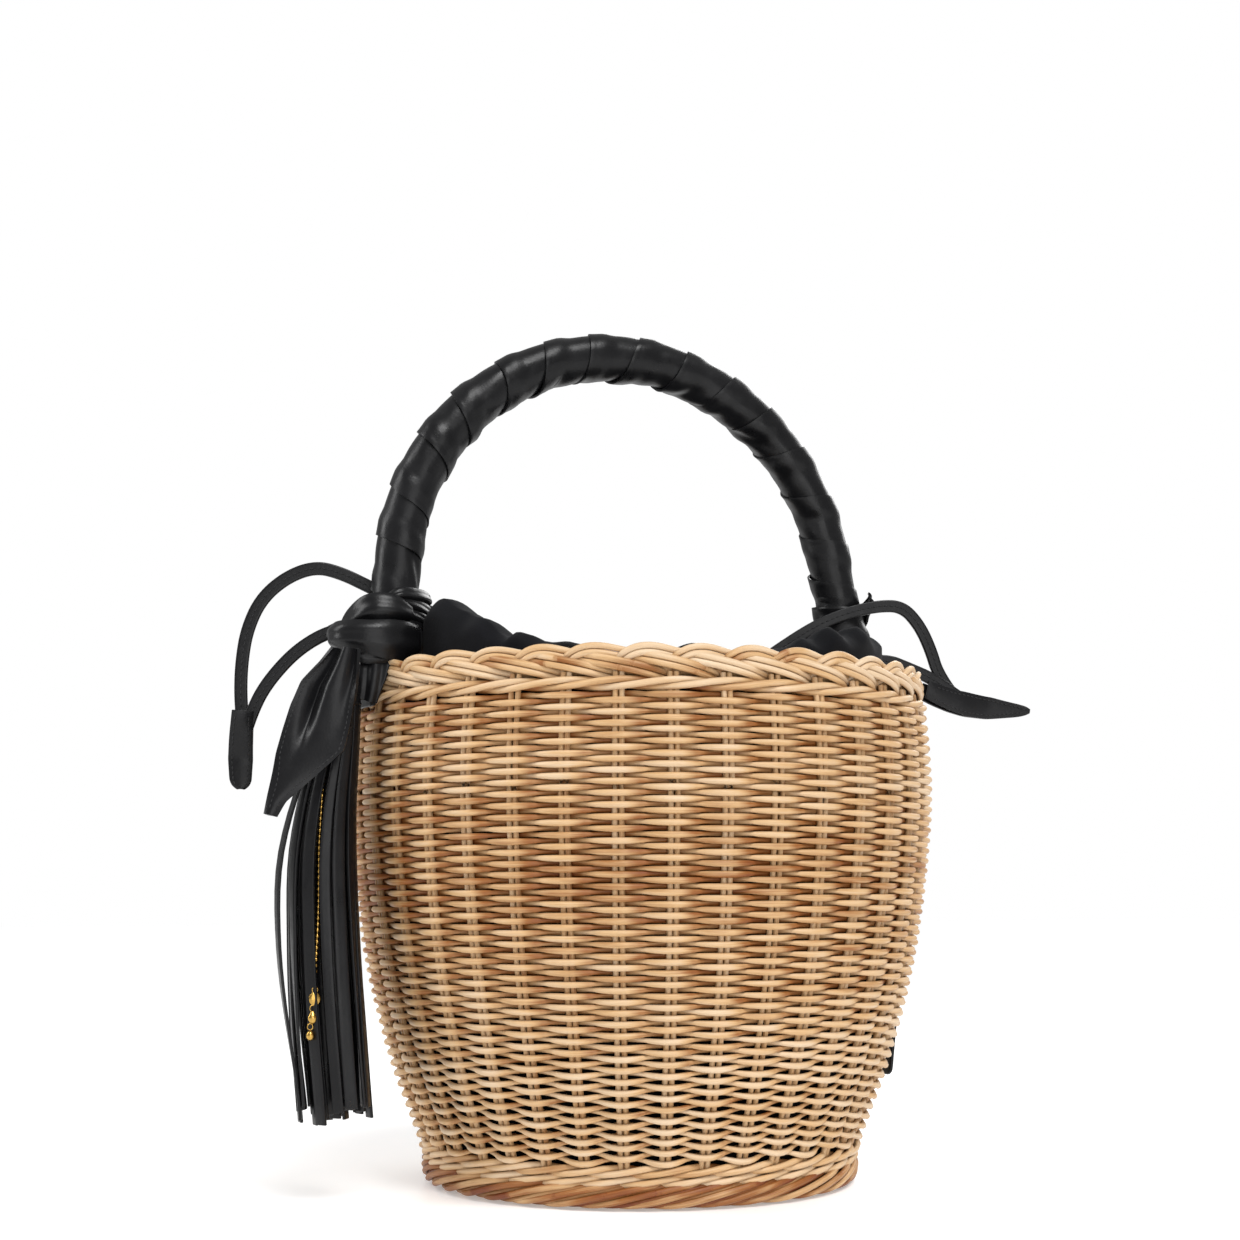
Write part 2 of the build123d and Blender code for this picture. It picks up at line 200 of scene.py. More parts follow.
def wander(count, step, seed, size):
    """A smooth seeded random line of values between -size and size."""
    rng = np.random.default_rng(seed)
    knots = rng.uniform(-1, 1, int(count / step) + 4)
    return size * np.interp(np.arange(count) / step, np.arange(len(knots)), knots)


def polar(radius, angle, z):
    return np.stack([radius * np.cos(angle), radius * np.sin(angle), np.broadcast_to(z, np.shape(angle))], axis=-1)


# ---------------------------------------------------------------- materials

def nodes_of(name):
    material = bpy.data.materials.get(name)
    if material:
        return material, None, None
    material = bpy.data.materials.new(name)
    material.use_nodes = True
    tree = material.node_tree
    return material, tree, tree.nodes["Principled BSDF"]


def add(tree, kind, inputs=None, **settings):
    node = tree.nodes.new(kind)
    for key, value in settings.items():
        setattr(node, key, value)
    for key, value in (inputs or {}).items():
        if isinstance(value, bpy.types.NodeSocket):
            tree.links.new(value, node.inputs[key])
        else:
            node.inputs[key].default_value = value
    return node


def ramp(tree, value, stops):
    node = add(tree, "ShaderNodeValToRGB", {"Fac": value})
    elements = node.color_ramp.elements
    for index, (place, colour) in enumerate(stops):
        element = elements[index] if index < 2 else elements.new(place)
        element.position = place
        element.color = (*colour, 1) if len(colour) == 3 else colour
    return node.outputs["Color"]


def maths(tree, operation, first, second):
    return add(tree, "ShaderNodeMath", {0: first, 1: second}, operation=operation).outputs[0]


def cane_material():
    """Peeled rattan: honey canes of uneven tone with fine lengthwise grain, darkened by painted shade where the
    tone attribute says a cane passes behind others.
    """
    material, tree, shader = nodes_of("honey_cane")
    if tree is None:
        return material
    colours = bpy.context.scene.basket_cane
    grain = add(tree, "ShaderNodeAttribute", attribute_name="grain").outputs["Vector"]
    tone = add(tree, "ShaderNodeAttribute", attribute_name="tone").outputs["Fac"]
    streaks = add(tree, "ShaderNodeMapping", {"Vector": grain, "Scale": (32, 4.6, 4.6)}).outputs[0]
    fibre = add(tree, "ShaderNodeTexNoise", {"Vector": streaks, "Scale": 1.0, "Detail": 4.0}).outputs["Fac"]
    patches = add(tree, "ShaderNodeMapping", {"Vector": grain, "Scale": (55, 0.5, 0.5)}).outputs[0]
    patch = add(tree, "ShaderNodeTexNoise", {"Vector": patches, "Scale": 1.0, "Detail": 2.0}).outputs["Fac"]
    mixed = maths(tree, "ADD", maths(tree, "MULTIPLY", patch, 0.42), maths(tree, "MULTIPLY", tone, 0.40))
    mixed = maths(tree, "ADD", mixed, maths(tree, "MULTIPLY", fibre, 0.30))
    # Painted shade: the deepest ramp stop colours canes that the tone attribute darkens where they pass behind
    # others, and the darkest random canes too.
    deepest_cane_and_shade = tuple(c * share for c, share in zip(colours.dark, (0.60, 0.34, 0.16)))
    colour = ramp(tree, mixed, [(0.08, deepest_cane_and_shade), (0.74, tuple(colours.light)), (0.30, tuple(colours.dark)),
                                (0.50, tuple(colours.middle))])
    tree.links.new(colour, shader.inputs["Base Color"])
    rough = add(tree, "ShaderNodeMapRange", {"Value": fibre, "To Min": 0.36, "To Max": 0.58}).outputs[0]
    tree.links.new(rough, shader.inputs["Roughness"])
    bump = add(tree, "ShaderNodeBump", {"Height": fibre, "Strength": 0.4, "Distance": 0.0003}).outputs[0]
    tree.links.new(bump, shader.inputs["Normal"])
    shader.inputs["Specular IOR Level"].default_value = 0.4
    return material


def leather_material(name="bag_leather", base=None, rough=(0.26, 0.40), grain_scale=900.0, strength=0.14):
    """Soft black leather: pebbled grain, faint creases and an uneven low gloss."""
    material, tree, shader = nodes_of(name)
    if tree is None:
        return material
    colour = base or tuple(bpy.context.scene.bag_leather.leather)
    where = add(tree, "ShaderNodeTexCoord").outputs["Object"]
    pebble = add(tree, "ShaderNodeTexVoronoi", {"Vector": where, "Scale": grain_scale}).outputs["Distance"]
    crease = add(tree, "ShaderNodeTexNoise", {"Vector": where, "Scale": 160.0, "Detail": 5.0,
                                              "Distortion": 0.8}).outputs["Fac"]
    cloud = add(tree, "ShaderNodeTexNoise", {"Vector": where, "Scale": 38.0, "Detail": 2.0}).outputs["Fac"]
    shade = ramp(tree, cloud, [(0.3, tuple(0.8 * c for c in colour)), (0.75, tuple(1.35 * c for c in colour))])
    tree.links.new(shade, shader.inputs["Base Color"])
    gloss = add(tree, "ShaderNodeMapRange", {"Value": crease, "From Min": 0.3, "From Max": 0.7,
                                             "To Min": rough[0], "To Max": rough[1]}).outputs[0]
    tree.links.new(gloss, shader.inputs["Roughness"])
    height = maths(tree, "ADD", maths(tree, "MULTIPLY", pebble, 0.6), crease)
    bump = add(tree, "ShaderNodeBump", {"Height": height, "Strength": strength, "Distance": 0.0003}).outputs[0]
    tree.links.new(bump, shader.inputs["Normal"])
    shader.inputs["Specular IOR Level"].default_value = 0.22
    return material


def cloth_material():
    """Black suede-like cloth: dull, with a short nap and a faint sheen."""
    material, tree, shader = nodes_of("pouch_cloth")
    if tree is None:
        return material
    colour = tuple(bpy.context.scene.bag_leather.cloth)
    where = add(tree, "ShaderNodeTexCoord").outputs["Object"]
    nap = add(tree, "ShaderNodeTexNoise", {"Vector": where, "Scale": 1400.0, "Detail": 2.0}).outputs["Fac"]
    brushed = add(tree, "ShaderNodeTexNoise", {"Vector": where, "Scale": 70.0, "Detail": 4.0}).outputs["Fac"]
    shade = ramp(tree, brushed, [(0.3, tuple(0.7 * c for c in colour)), (0.7, tuple(1.5 * c for c in colour))])
    tree.links.new(shade, shader.inputs["Base Color"])
    bump = add(tree, "ShaderNodeBump", {"Height": nap, "Strength": 0.3, "Distance": 0.0003}).outputs[0]
    tree.links.new(bump, shader.inputs["Normal"])
    shader.inputs["Roughness"].default_value = 0.92
    shader.inputs["Specular IOR Level"].default_value = 0.12
    shader.inputs["Sheen Weight"].default_value = 0.03
    shader.inputs["Sheen Roughness"].default_value = 0.5
    return material


def gold_material():
    material, tree, shader = nodes_of("gold_plate")
    if tree is None:
        return material
    where = add(tree, "ShaderNodeTexCoord").outputs["Object"]
    wear = add(tree, "ShaderNodeTexNoise", {"Vector": where, "Scale": 500.0, "Detail": 3.0}).outputs["Fac"]
    colour = tuple(bpy.context.scene.bag_leather.gold)
    shade = ramp(tree, wear, [(0.3, tuple(0.85 * c for c in colour)), (0.7, colour)])
    tree.links.new(shade, shader.inputs["Base Color"])
    rough = add(tree, "ShaderNodeMapRange", {"Value": wear, "To Min": 0.16, "To Max": 0.34}).outputs[0]
    tree.links.new(rough, shader.inputs["Roughness"])
    shader.inputs["Metallic"].default_value = 1.0
    return material


def thread_material():
    return leather_material("stitching_thread", base=(0.016, 0.016, 0.017), rough=(0.5, 0.65),
                            grain_scale=2500.0, strength=0.2)


# ---------------------------------------------------------------- the woven wall

WALL_HEIGHTS = np.array([0.0, 16.0, 48.0, 85.0, 125.0, 160.0, 189.5, 206.0]) * MM
WALL_RADII = np.array([86.5, 91.0, 102.3, 111.7, 117.6, 119.6, 117.3, 114.5]) * MM


def wall_radius(z):
    """A smooth curve through the basket's driving radii."""
    z = np.asarray(z, float)
    slopes = np.gradient(WALL_RADII, WALL_HEIGHTS)
    i = np.clip(np.searchsorted(WALL_HEIGHTS, z) - 1, 0, len(WALL_HEIGHTS) - 2)
    h = WALL_HEIGHTS[i + 1] - WALL_HEIGHTS[i]
    t = (z - WALL_HEIGHTS[i]) / h
    return ((2 * t**3 - 3 * t**2 + 1) * WALL_RADII[i] + (t**3 - 2 * t**2 + t) * h * slopes[i]
            + (-2 * t**3 + 3 * t**2) * WALL_RADII[i + 1] + (t**3 - t**2) * h * slopes[i + 1])


def middle_radius(z):
    """Radius of the stakes, half way through the woven wall."""
    return wall_radius(z) - 3.3 * MM


def weave_wall(low, high):
    """One long weaver, in front of one stake and behind the next, wound from low to high."""
    cane = bpy.context.scene.basket_cane
    samples = 8
    count = cane.rows * cane.stakes * samples + 1
    turn = np.arange(count) / (cane.stakes * samples)
    angle = turn * TURN
    swing = np.cos(cane.stakes * angle / 2)
    pitch = (high - low) / cane.rows
    z = low + pitch * turn
    bow = 1.05 * MM * (1 - smoothstep(0.018, 0.085, z)) + 0.30 * MM
    z = z - bow * swing + wander(count, 23, 11, 0.12 * MM) + wander(count, 900, 12, 0.25 * MM)
    shaped = np.sign(swing) * np.abs(swing) ** 0.85
    radius = middle_radius(z) + shaped * cane.swing + wander(count, 37, 13, 0.1 * MM)
    thick = cane.weaver * (0.70 + 0.30 * np.abs(swing) ** 0.8 + wander(count, 29, 14, 0.05))
    tone = 0.5 + wander(count, 5200, 15, 0.32) + wander(count, 16, 16, 0.22)
    # Painted shade: the weaver is darkened where it swings in behind the stakes.
    tone = tone - 0.5 * (1 - smoothstep(-0.5, 0.5, swing))
    points = polar(radius, angle, z)
    bands = 4
    per_band = cane.rows // bands + 1
    for band in range(bands):
        first = band * per_band * cane.stakes * samples
        last = min((band + 1) * per_band * cane.stakes * samples, count - 1) + 1
        strand = (points[first:last], thick[first:last], tone[first:last])
        piece = canes("weaver_band_%d" % (band + 1), [strand], 8, cane_material())
        if band == 0:
            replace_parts(piece, "weave_outer", "weave_inner")


def stake_canes():
    """The pairs of upright canes that the wall is woven on."""
    cane = bpy.context.scene.basket_cane
    rng = np.random.default_rng(5)
    heights = np.linspace(8, 196, 36) * MM
    strands = []
    for i in range(cane.stakes):
        for side in (-1, 1):
            middle = middle_radius(heights)
            angle = (i * TURN / cane.stakes + side * (cane.stake + 0.12 * MM) / middle
                     + rng.normal(0, 0.0012) + wander(len(heights), 9, int(rng.integers(1e6)), 0.0016))
            strands.append((polar(middle, angle, heights), cane.stake, rng.uniform(0.15, 0.6)))
    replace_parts(canes("stake_canes", strands, 6, cane_material()), "side_stakes")


def rope(height, radius, swing_out, swing_up, phase, cane_radius, steps=9, period=3.0, seed=0):
    """Three canes twined round the stakes as a rope that rises to the right on the outside."""
    stakes = bpy.context.scene.basket_cane.stakes
    loops = round(stakes / period)
    count = stakes * steps
    angle = np.arange(count) * TURN / count
    strands = []
    for strand in range(3):
        turn = loops * angle - strand * TURN / 3 + phase
        r = radius + swing_out * np.cos(turn) + wander(count, 19, seed + strand, 0.08 * MM)
        z = height + swing_up * np.sin(turn) + wander(count, 31, seed + 9 + strand, 0.08 * MM)
        # Painted shade: each rope strand is darkened where it turns in behind the stakes.
        tone = 0.5 + wander(count, 60, seed + 20 + strand, 0.3) - 0.55 * (1 - smoothstep(-0.7, 0.2, np.cos(turn)))
        strands.append((polar(r, angle, z), cane_radius, tone))
    return strands


def wale_rounds():
    """The three-rod wales: two rounds over the foot and one under the rim."""
    cane = bpy.context.scene.basket_cane
    lower = []
    for index, height in enumerate((10.6, 14.4)):
        lower += rope(height * MM, middle_radius(height * MM) + 0.3 * MM, 2.2 * MM, 1.35 * MM, index * 1.3,
                      cane.weaver, seed=40 + index * 50)
    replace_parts(canes("foot_wale", lower, 8, cane_material(), cyclic=True), "base_wale")
    top = 191.9 * MM
    upper = rope(top, middle_radius(top) + 0.35 * MM, 2.3 * MM, 1.45 * MM, 0.4, cane.weaver, seed=160)
    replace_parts(canes("rim_wale", upper, 8, cane_material(), cyclic=True), "top_wale")


def unit_canes(path, radius_at, bottom, height, spread, cane_radius, seed, darker=0.0):
    """One pair of canes for each stake; path holds (stakes along, outward, height share) of a unit."""
    stakes = bpy.context.scene.basket_cane.stakes
    rng = np.random.default_rng(seed)
    along, outward, rise = np.array(path).T
    slope = np.arctan2(np.gradient(rise) * height, np.gradient(along) * radius_at * TURN / stakes)
    strands = []
    for i in range(stakes):
        push = rng.normal(0, 0.25 * MM, 2)
        for side in spread:
            offset = side * cane_radius
            angle = (i + along) * TURN / stakes - offset * np.sin(slope) / radius_at
            z = bottom + rise * height + offset * np.cos(slope) + push[0] * np.sin(math.pi * rise)
            r = radius_at + outward * MM + push[1] * 0.6
            # Painted shade: canes are darkened where they run on the inside of the wall.
            inside = 0.5 * (1 - smoothstep(-2.5, 1.2, outward))
            tone = rng.uniform(0.3, 0.95) - inside - darker
            strands.append((polar(r, angle, z), cane_radius * rng.uniform(0.94, 1.04), tone))
    return strands


def rim_braid():
    """The plaited border: each pair rises from inside, goes over the top and runs down across two more."""
    low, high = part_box("rim_braid")
    path = [(-0.42, -3.4, -0.12), (-0.22, -1.6, 0.14), (-0.04, 0.6, 0.42), (0.1, 2.9, 0.70), (0.34, 3.3, 0.93),
            (0.62, 2.9, 0.965), (0.88, 2.2, 0.86), (1.1, 0.9, 0.755), (1.34, 2.2, 0.665), (1.62, 3.6, 0.56),
            (1.95, 4.3, 0.43), (2.3, 4.1, 0.29), (2.62, 2.4, 0.15), (2.88, -0.2, 0.03), (3.05, -2.4, -0.06)]
    strands = unit_canes(path, 0.1112, low[2] + 0.5 * MM, high[2] - low[2] - 0.9 * MM, (-1.0, 1.0), 1.2 * MM, 3)
    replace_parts(canes("braid_canes", strands, 8, cane_material(), kind="NURBS"), "rim_braid")
    angle = np.arange(180) * TURN / 180
    filling = [(polar(np.full(180, radius * MM), angle, z * MM), size * MM, 0.25)
               for radius, z, size in ((109.6, 197.4, 2.5), (110.6, 200.4, 2.0), (107.6, 196.6, 1.6))]
    canes("braid_filling", filling, 10, cane_material(), cyclic=True)


def foot_border():
    """The twisted border that the basket stands on."""
    path = [(-0.5, -4.0, 0.10), (-0.2, -1.5, 0.02), (0.15, 0.6, 0.02), (0.6, 1.9, 0.12), (1.15, 2.6, 0.36),
            (1.75, 2.8, 0.60), (2.3, 2.6, 0.80), (2.75, 1.4, 0.92), (3.1, -1.2, 0.97), (3.4, -3.4, 0.9)]
    strands = unit_canes(path, 0.0862, 1.3 * MM, 8.6 * MM, (0.0,), 1.28 * MM, 8, darker=0.7)
    inner = [(along + 0.5, outward - 1.5, rise) for along, outward, rise in path]
    strands += unit_canes(inner, 0.0862, 1.3 * MM, 8.6 * MM, (0.0,), 1.2 * MM, 9, darker=0.7)
    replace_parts(canes("foot_canes", strands, 8, cane_material(), kind="NURBS"), "foot_border")


def woven_base():
    """The flat woven base: a spiral weaver over and under radial sticks."""
    cane = bpy.context.scene.basket_cane
    spokes, samples, first, last, pitch = 31, 4, 15 * MM, 83 * MM, 2.35 * MM
    rounds = (last - first) / pitch
    count = int(rounds * spokes * samples)
    angle = np.arange(count) / (spokes * samples) * TURN
    swing = np.cos(spokes * angle / 2)
    radius = first + pitch * angle / TURN
    z = 2.95 * MM + 1.3 * MM * swing
    tone = 0.5 + wander(count, 900, 61, 0.3) + wander(count, 8, 62, 0.15)
    weaver = (polar(radius, angle, z), cane.weaver * 0.93, tone)
    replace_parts(canes("base_weaver", [weaver], 6, cane_material()), "base_disc")
    sticks = []
    rng = np.random.default_rng(6)
    for i in range(spokes):
        reach = np.linspace(8 * MM, 84 * MM, 12)
        points = polar(reach, np.full(12, i * TURN / spokes), 2.95 * MM)
        sticks.append((points, 0.95 * MM, rng.uniform(0.3, 0.7)))
    for i in range(-3, 4):
        across = np.linspace(-15 * MM, 15 * MM, 6)
        level = np.full(6, 2.4 * MM)
        sticks.append((np.stack([across, np.full(6, i * 4.3 * MM), level + 1.4 * MM], axis=1), 1.3 * MM, 0.5))
        sticks.append((np.stack([np.full(6, i * 4.3 * MM), across, level - 1.0 * MM], axis=1), 1.3 * MM, 0.6))
    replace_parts(canes("base_spokes", sticks, 6, cane_material()), "base_sticks")


# ---------------------------------------------------------------- sheets, bands and threads

def settled(name, mesh, modifiers):
    """The mesh with its modifiers worked into it."""
    holder = link(bpy.data.objects.new(name + "_raw", mesh))
    for kind, settings in modifiers:
        modifier = holder.modifiers.new(kind.lower(), kind)
        for key, value in settings.items():
            setattr(modifier, key, value)
    bpy.context.view_layer.update()
    final = bpy.data.meshes.new_from_object(holder.evaluated_get(bpy.context.evaluated_depsgraph_get()))
    final.name = name
    remove(holder)
    return final


def mesh_from(name, bm):
    """The bmesh as a new mesh, with the bmesh let go."""
    mesh = bpy.data.meshes.new(name)
    bm.to_mesh(mesh)
    bm.free()
    return mesh


def grid_mesh(name, across, along, place, closed=False, trims=()):
    """A grid whose points go where place(u, v) says, with u and v kept as its UV map."""
    bm = bmesh.new()
    bm.loops.layers.uv.new("UVMap")
    bmesh.ops.create_grid(bm, x_segments=across, y_segments=along, size=1.0, calc_uvs=True)
    spots = np.array([v.co for v in bm.verts])
    moved = place((spots[:, 0] + 1) / 2, (spots[:, 1] + 1) / 2)
    for vertex, where in zip(bm.verts, moved):
        vertex.co = where
    if closed:
        bmesh.ops.remove_doubles(bm, verts=bm.verts, dist=1e-6)
    for point, normal in trims:
        bmesh.ops.bisect_plane(bm, geom=bm.verts[:] + bm.edges[:] + bm.faces[:], plane_co=point,
                               plane_no=normal, clear_outer=True)
    return mesh_from(name, bm)


def skin(name, across, along, place, thick, material, body="basket", closed=False,
         flip=False, edge=0.35, smooth=1, trims=()):
    """A leather or cloth sheet with a real thickness and rounded edges."""
    mesh = grid_mesh(name, across, along, place, closed, trims)
    if flip:
        mesh.flip_normals()
    steps = [("SOLIDIFY", {"thickness": thick, "offset": 0.0, "use_even_offset": False})]
    if edge:
        steps.append(("BEVEL", {"width": thick * edge, "segments": 2, "limit_method": "ANGLE",
                                "angle_limit": EDGE_ANGLE}))
    if smooth:
        steps.append(("SUBSURF", {"levels": smooth, "render_levels": smooth}))
    return finish_piece(name, settled(name, mesh, steps), material, body)


def smooth_line(points, count):
    """Count even points along the smooth curve through a few points."""
    points = np.asarray(points, float)
    marks = np.concatenate([[0], np.cumsum(np.linalg.norm(np.diff(points, axis=0), axis=1))])
    slopes = np.gradient(points, marks, axis=0)
    where = np.linspace(0, marks[-1], count)
    i = np.clip(np.searchsorted(marks, where) - 1, 0, len(marks) - 2)
    h = (marks[i + 1] - marks[i])[:, None]
    t = ((where - marks[i]) / h[:, 0])[:, None]
    return ((2 * t**3 - 3 * t**2 + 1) * points[i] + (t**3 - 2 * t**2 + t) * h * slopes[i]
            + (-2 * t**3 + 3 * t**2) * points[i + 1] + (t**3 - t**2) * h * slopes[i + 1])


def frames_along(line, up):
    """Tangent, side and lift directions at each point of a line."""
    line = np.asarray(line)
    tangent = np.gradient(line, axis=0)
    tangent /= np.linalg.norm(tangent, axis=1)[:, None]
    side = np.cross(tangent, up)
    side /= np.linalg.norm(side, axis=1)[:, None]
    return tangent, side, np.cross(side, tangent)


def band(name, line, widths, up, material, thick=0.0013, body="basket", slot="black_leather", turns=None,
         cup=0.0, folds=0.0, seed=0, across=14):
    """A soft strip along a line: up is the way its face looks, turns rolls it, and cup and folds shape it."""
    line = np.asarray(line, float)
    count = len(line)
    _, side, lift = frames_along(line, np.broadcast_to(np.asarray(up, float), line.shape))
    roll = np.interp(np.linspace(0, 1, count), np.linspace(0, 1, len(turns)), turns) if turns else np.zeros(count)
    widths = np.interp(np.linspace(0, 1, count), np.linspace(0, 1, len(widths)), widths)
    turned_side = side * np.cos(roll)[:, None] + lift * np.sin(roll)[:, None]
    turned_lift = lift * np.cos(roll)[:, None] - side * np.sin(roll)[:, None]

    def place(u, v):
        i = np.rint(v * (count - 1)).astype(int)
        w = 2 * u - 1
        ripple = folds * np.sin(w * 6.5 + seed + 1.2 * np.sin(v * 5 + seed)) * (1 - 0.5 * w * w)
        height = cup * (1 - w * w) + ripple
        return line[i] + turned_side[i] * (w * widths[i] / 2)[:, None] + turned_lift[i] * height[:, None]
    return skin(name, across, count - 1, place, thick, material, body)


def stitches(name, line, face, body, pitch=0.0026, size=0.00032):
    """A row of small thread stitches lying on a line; face is the way out of the leather."""
    line = np.asarray(line, float)
    marks = np.concatenate([[0], np.cumsum(np.linalg.norm(np.diff(line, axis=0), axis=1))])
    face = np.broadcast_to(np.asarray(face, float), line.shape)
    bm = bmesh.new()
    for middle in np.arange(pitch / 2, marks[-1], pitch):
        ends = [np.array([np.interp(middle + s * pitch * 0.34, marks, line[:, k]) for k in range(3)])
                for s in (-1, 1)]
        out = Vector([np.interp(middle, marks, face[:, k]) for k in range(3)]).normalized()
        along = Vector(ends[1] - ends[0])
        turn = Matrix((along.normalized(), out.cross(along.normalized()), out)).transposed()
        made = bmesh.ops.create_icosphere(bm, subdivisions=1, radius=1.0)["verts"]
        shape = Matrix.Diagonal((along.length / 2 + size, size * 1.15, size * 0.8)).to_4x4()
        place = Matrix.Translation(Vector((ends[0] + ends[1]) / 2))
        bmesh.ops.transform(bm, matrix=place @ turn.to_4x4() @ shape, verts=made)
    mesh = mesh_from(name, bm)
    return finish_piece(name, mesh, thread_material(), body)


# ---------------------------------------------------------------- handle

ARCH_MIDDLE = Vector((-0.0065, 0, 0.240))
ARCH_RADIUS = 0.097
LEFT_FLARE = math.radians(4)
RIGHT_FLARE = math.radians(12)
HANDLE_FOOT = 0.2076
WRAP_RADIUS = 0.0083


def handle_line(s):
    """Points, outward directions and tangents of the handle's middle line at lengths s from its left foot."""
    left = (ARCH_MIDDLE.z + ARCH_RADIUS * math.sin(LEFT_FLARE) - HANDLE_FOOT) / math.cos(LEFT_FLARE)
    sweep = math.pi - LEFT_FLARE - RIGHT_FLARE
    arc = sweep * ARCH_RADIUS
    turn = np.clip((s - left) / ARCH_RADIUS, 0, sweep)
    angle = math.pi - LEFT_FLARE - turn
    out = np.stack([np.cos(angle), np.zeros_like(angle), np.sin(angle)], axis=1)
    tangent = np.stack([np.sin(angle), np.zeros_like(angle), -np.cos(angle)], axis=1)
    extra = np.where(s < left, s - left, np.where(s > left + arc, s - left - arc, 0))
    points = np.array(ARCH_MIDDLE) + ARCH_RADIUS * out + extra[:, None] * tangent
    return points, out, tangent


def handle_length():
    left = (ARCH_MIDDLE.z + ARCH_RADIUS * math.sin(LEFT_FLARE) - HANDLE_FOOT) / math.cos(LEFT_FLARE)
    right = (ARCH_MIDDLE.z + ARCH_RADIUS * math.sin(RIGHT_FLARE) - HANDLE_FOOT) / math.cos(RIGHT_FLARE)
    return left + right + (math.pi - LEFT_FLARE - RIGHT_FLARE) * ARCH_RADIUS


def handle_point(s, around, radius):
    """The point at length s and angle around, where 0 is the outside of the arch and 90 degrees the front."""
    points, out, _ = handle_line(s)
    front = np.array([0, -1.0, 0])
    return points + radius[:, None] * (np.cos(around)[:, None] * out + np.sin(around)[:, None] * front)


def wrapped_handle():
    """The band wound round the handle, each turn lapping over the one before it."""
    sizes = bpy.context.scene.bag_leather
    length = handle_length()
    pitch, thick = sizes.wrap_pitch, sizes.wrap_thick
    turns = length / pitch + 1.6
    width = 1.38 * pitch
    rng = np.random.default_rng(21)
    wobble = rng.uniform(-1, 1, 60)
    per_turn = 72

    def place(u, v):
        wound = v * turns
        lean = 0.0022 * np.interp(wound * 1.7, np.arange(60), wobble)
        around = -TURN * wound + math.pi * 0.55
        s = (wound - 0.75) * pitch + (u - 0.15) * width + lean
        points_s = np.clip(s, -0.004, length + 0.004)
        inner = np.clip(-np.cos(around), 0, 1)
        lap = thick * 1.15 * (1 - smoothstep(0.18, 0.40, u))
        uneven = 0.6 + 0.6 * np.interp(wound * 2.3, np.arange(60), wobble)
        lip = 0.00026 * (1 - smoothstep(0.0, 0.10, u)) * uneven
        swell = 0.00035 * np.sin(math.pi * np.clip(u, 0, 1))
        wild = np.interp(wound * 3, np.arange(60), wobble)
        phase = s / 0.0042 + 1.3 * around + 1.4 * np.sin(around * 2 + wound * 4) + 3 * wild
        crease = -0.00075 * inner * (0.5 + 0.5 * np.sin(phase)) ** 2.5 * (1 - smoothstep(0.75, 1.0, u))
        crease += 0.00018 * np.sin(s / 0.0024 + 5 * wild + around * 3) * (0.3 + inner)
        drag = 0.00016 * np.sin(around * 3 + s / 0.0062 + 3 * wobble[np.clip((wound * 2).astype(int), 0, 59)])
        radius = WRAP_RADIUS + lap + lip + swell + crease + 0.5 * drag
        return handle_point(points_s, around, radius)
    ends, _, tangents = handle_line(np.array([0.0003, length - 0.0003]))
    trims = [(ends[0], -tangents[0]), (ends[1], tangents[1])]
    piece = skin("handle_wrapping", 16, int(turns * per_turn), place, thick, leather_material(), flip=True,
                 smooth=0, edge=0.4, trims=trims)
    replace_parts(piece, "handle_wrap")

    def binding_place(u, v):
        angle = u * TURN
        s = length - 0.0335 + v * 0.0325 + 0.0022 * np.cos(angle - 0.4) * (1 - v)
        flare = 0.0016 * (1 - smoothstep(0.0, 0.10, v)) * (0.5 + 0.5 * np.cos(angle - 0.2))
        creases = 0.0005 * np.sin(v * 16 + 1.5 * angle + 0.8 * np.sin(2 * angle)) * np.sin(math.pi * v) ** 0.5
        return handle_point(s, angle, 0.0101 + 0.0021 * smoothstep(0.1, 0.9, v) + flare + creases)
    skin("right_binding", 72, 30, binding_place, 1.1 * MM, leather_material(), closed=True, smooth=0, edge=0)
    around = np.linspace(-2.6, 0.9, 50)
    lengths = length - 0.0285 - 0.0082 * np.sin(around * 0.8)
    line = handle_point(lengths, around, 0.0119 + 0.0030 * smoothstep(0.2, 0.9, around))
    middles, _, _ = handle_line(lengths)
    return band("wrapping_end", line, [0.005, 0.007, 0.0085, 0.008, 0.0065], line - middles, leather_material(),
                thick=0.0010, cup=0.0012, folds=0.0006, seed=2)


LASHING_SPAN = math.radians(17.9)


def rim_lashings():
    """Leather saddles that hold the legs to the rim, sewn along both edges."""
    for side, middle in (("left", math.pi), ("right", 0.0)):
        path = [(103.9, 188.6), (103.8, 198), (104.2, 203.6), (106.5, 206.0), (111.5, 206.3), (116.4, 205.6),
                (118.7, 202.8), (119.2, 197), (119.2, 188.6)]
        profile = smooth_line([(r * MM, z * MM, 0) for r, z in path], 33)

        def place(u, v, profile=profile, middle=middle):
            i = np.rint(v * 32).astype(int)
            angle = middle + (u - 0.5) * LASHING_SPAN
            pucker = 0.0002 * np.sin(u * 40) * np.sin(math.pi * v)
            return polar(profile[i, 0] + pucker, angle, profile[i, 1])
        piece = skin("rim_lashing_" + side, 16, 32, place, 1.2 * MM, leather_material(), flip=True)
        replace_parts(piece, "lashing_" + side)
        for edge in (-1, 1):
            angle = middle + edge * math.radians(7.9)
            line = polar(profile[18:, 0] + 0.65 * MM, np.full(15, angle), profile[18:, 1])
            stitches("lashing_stitches_%s_%s" % (side, "low" if edge < 0 else "high"), line,
                     (math.cos(angle), math.sin(angle), 0.15), "basket")


# ---------------------------------------------------------------- pouch

MOUTH = (56 * MM, 80 * MM)
POUCH_PATH = [(83, 16), (95, 48), (107.5, 104), (108.6, 140), (103, 166), (98, 193)]


def mouth_line(angle, inset):
    """Radius of the oval mouth at an angle, moved out by an inset."""
    return 1 / np.hypot(np.cos(angle) / (MOUTH[0] + inset), np.sin(angle) / (MOUTH[1] + inset))


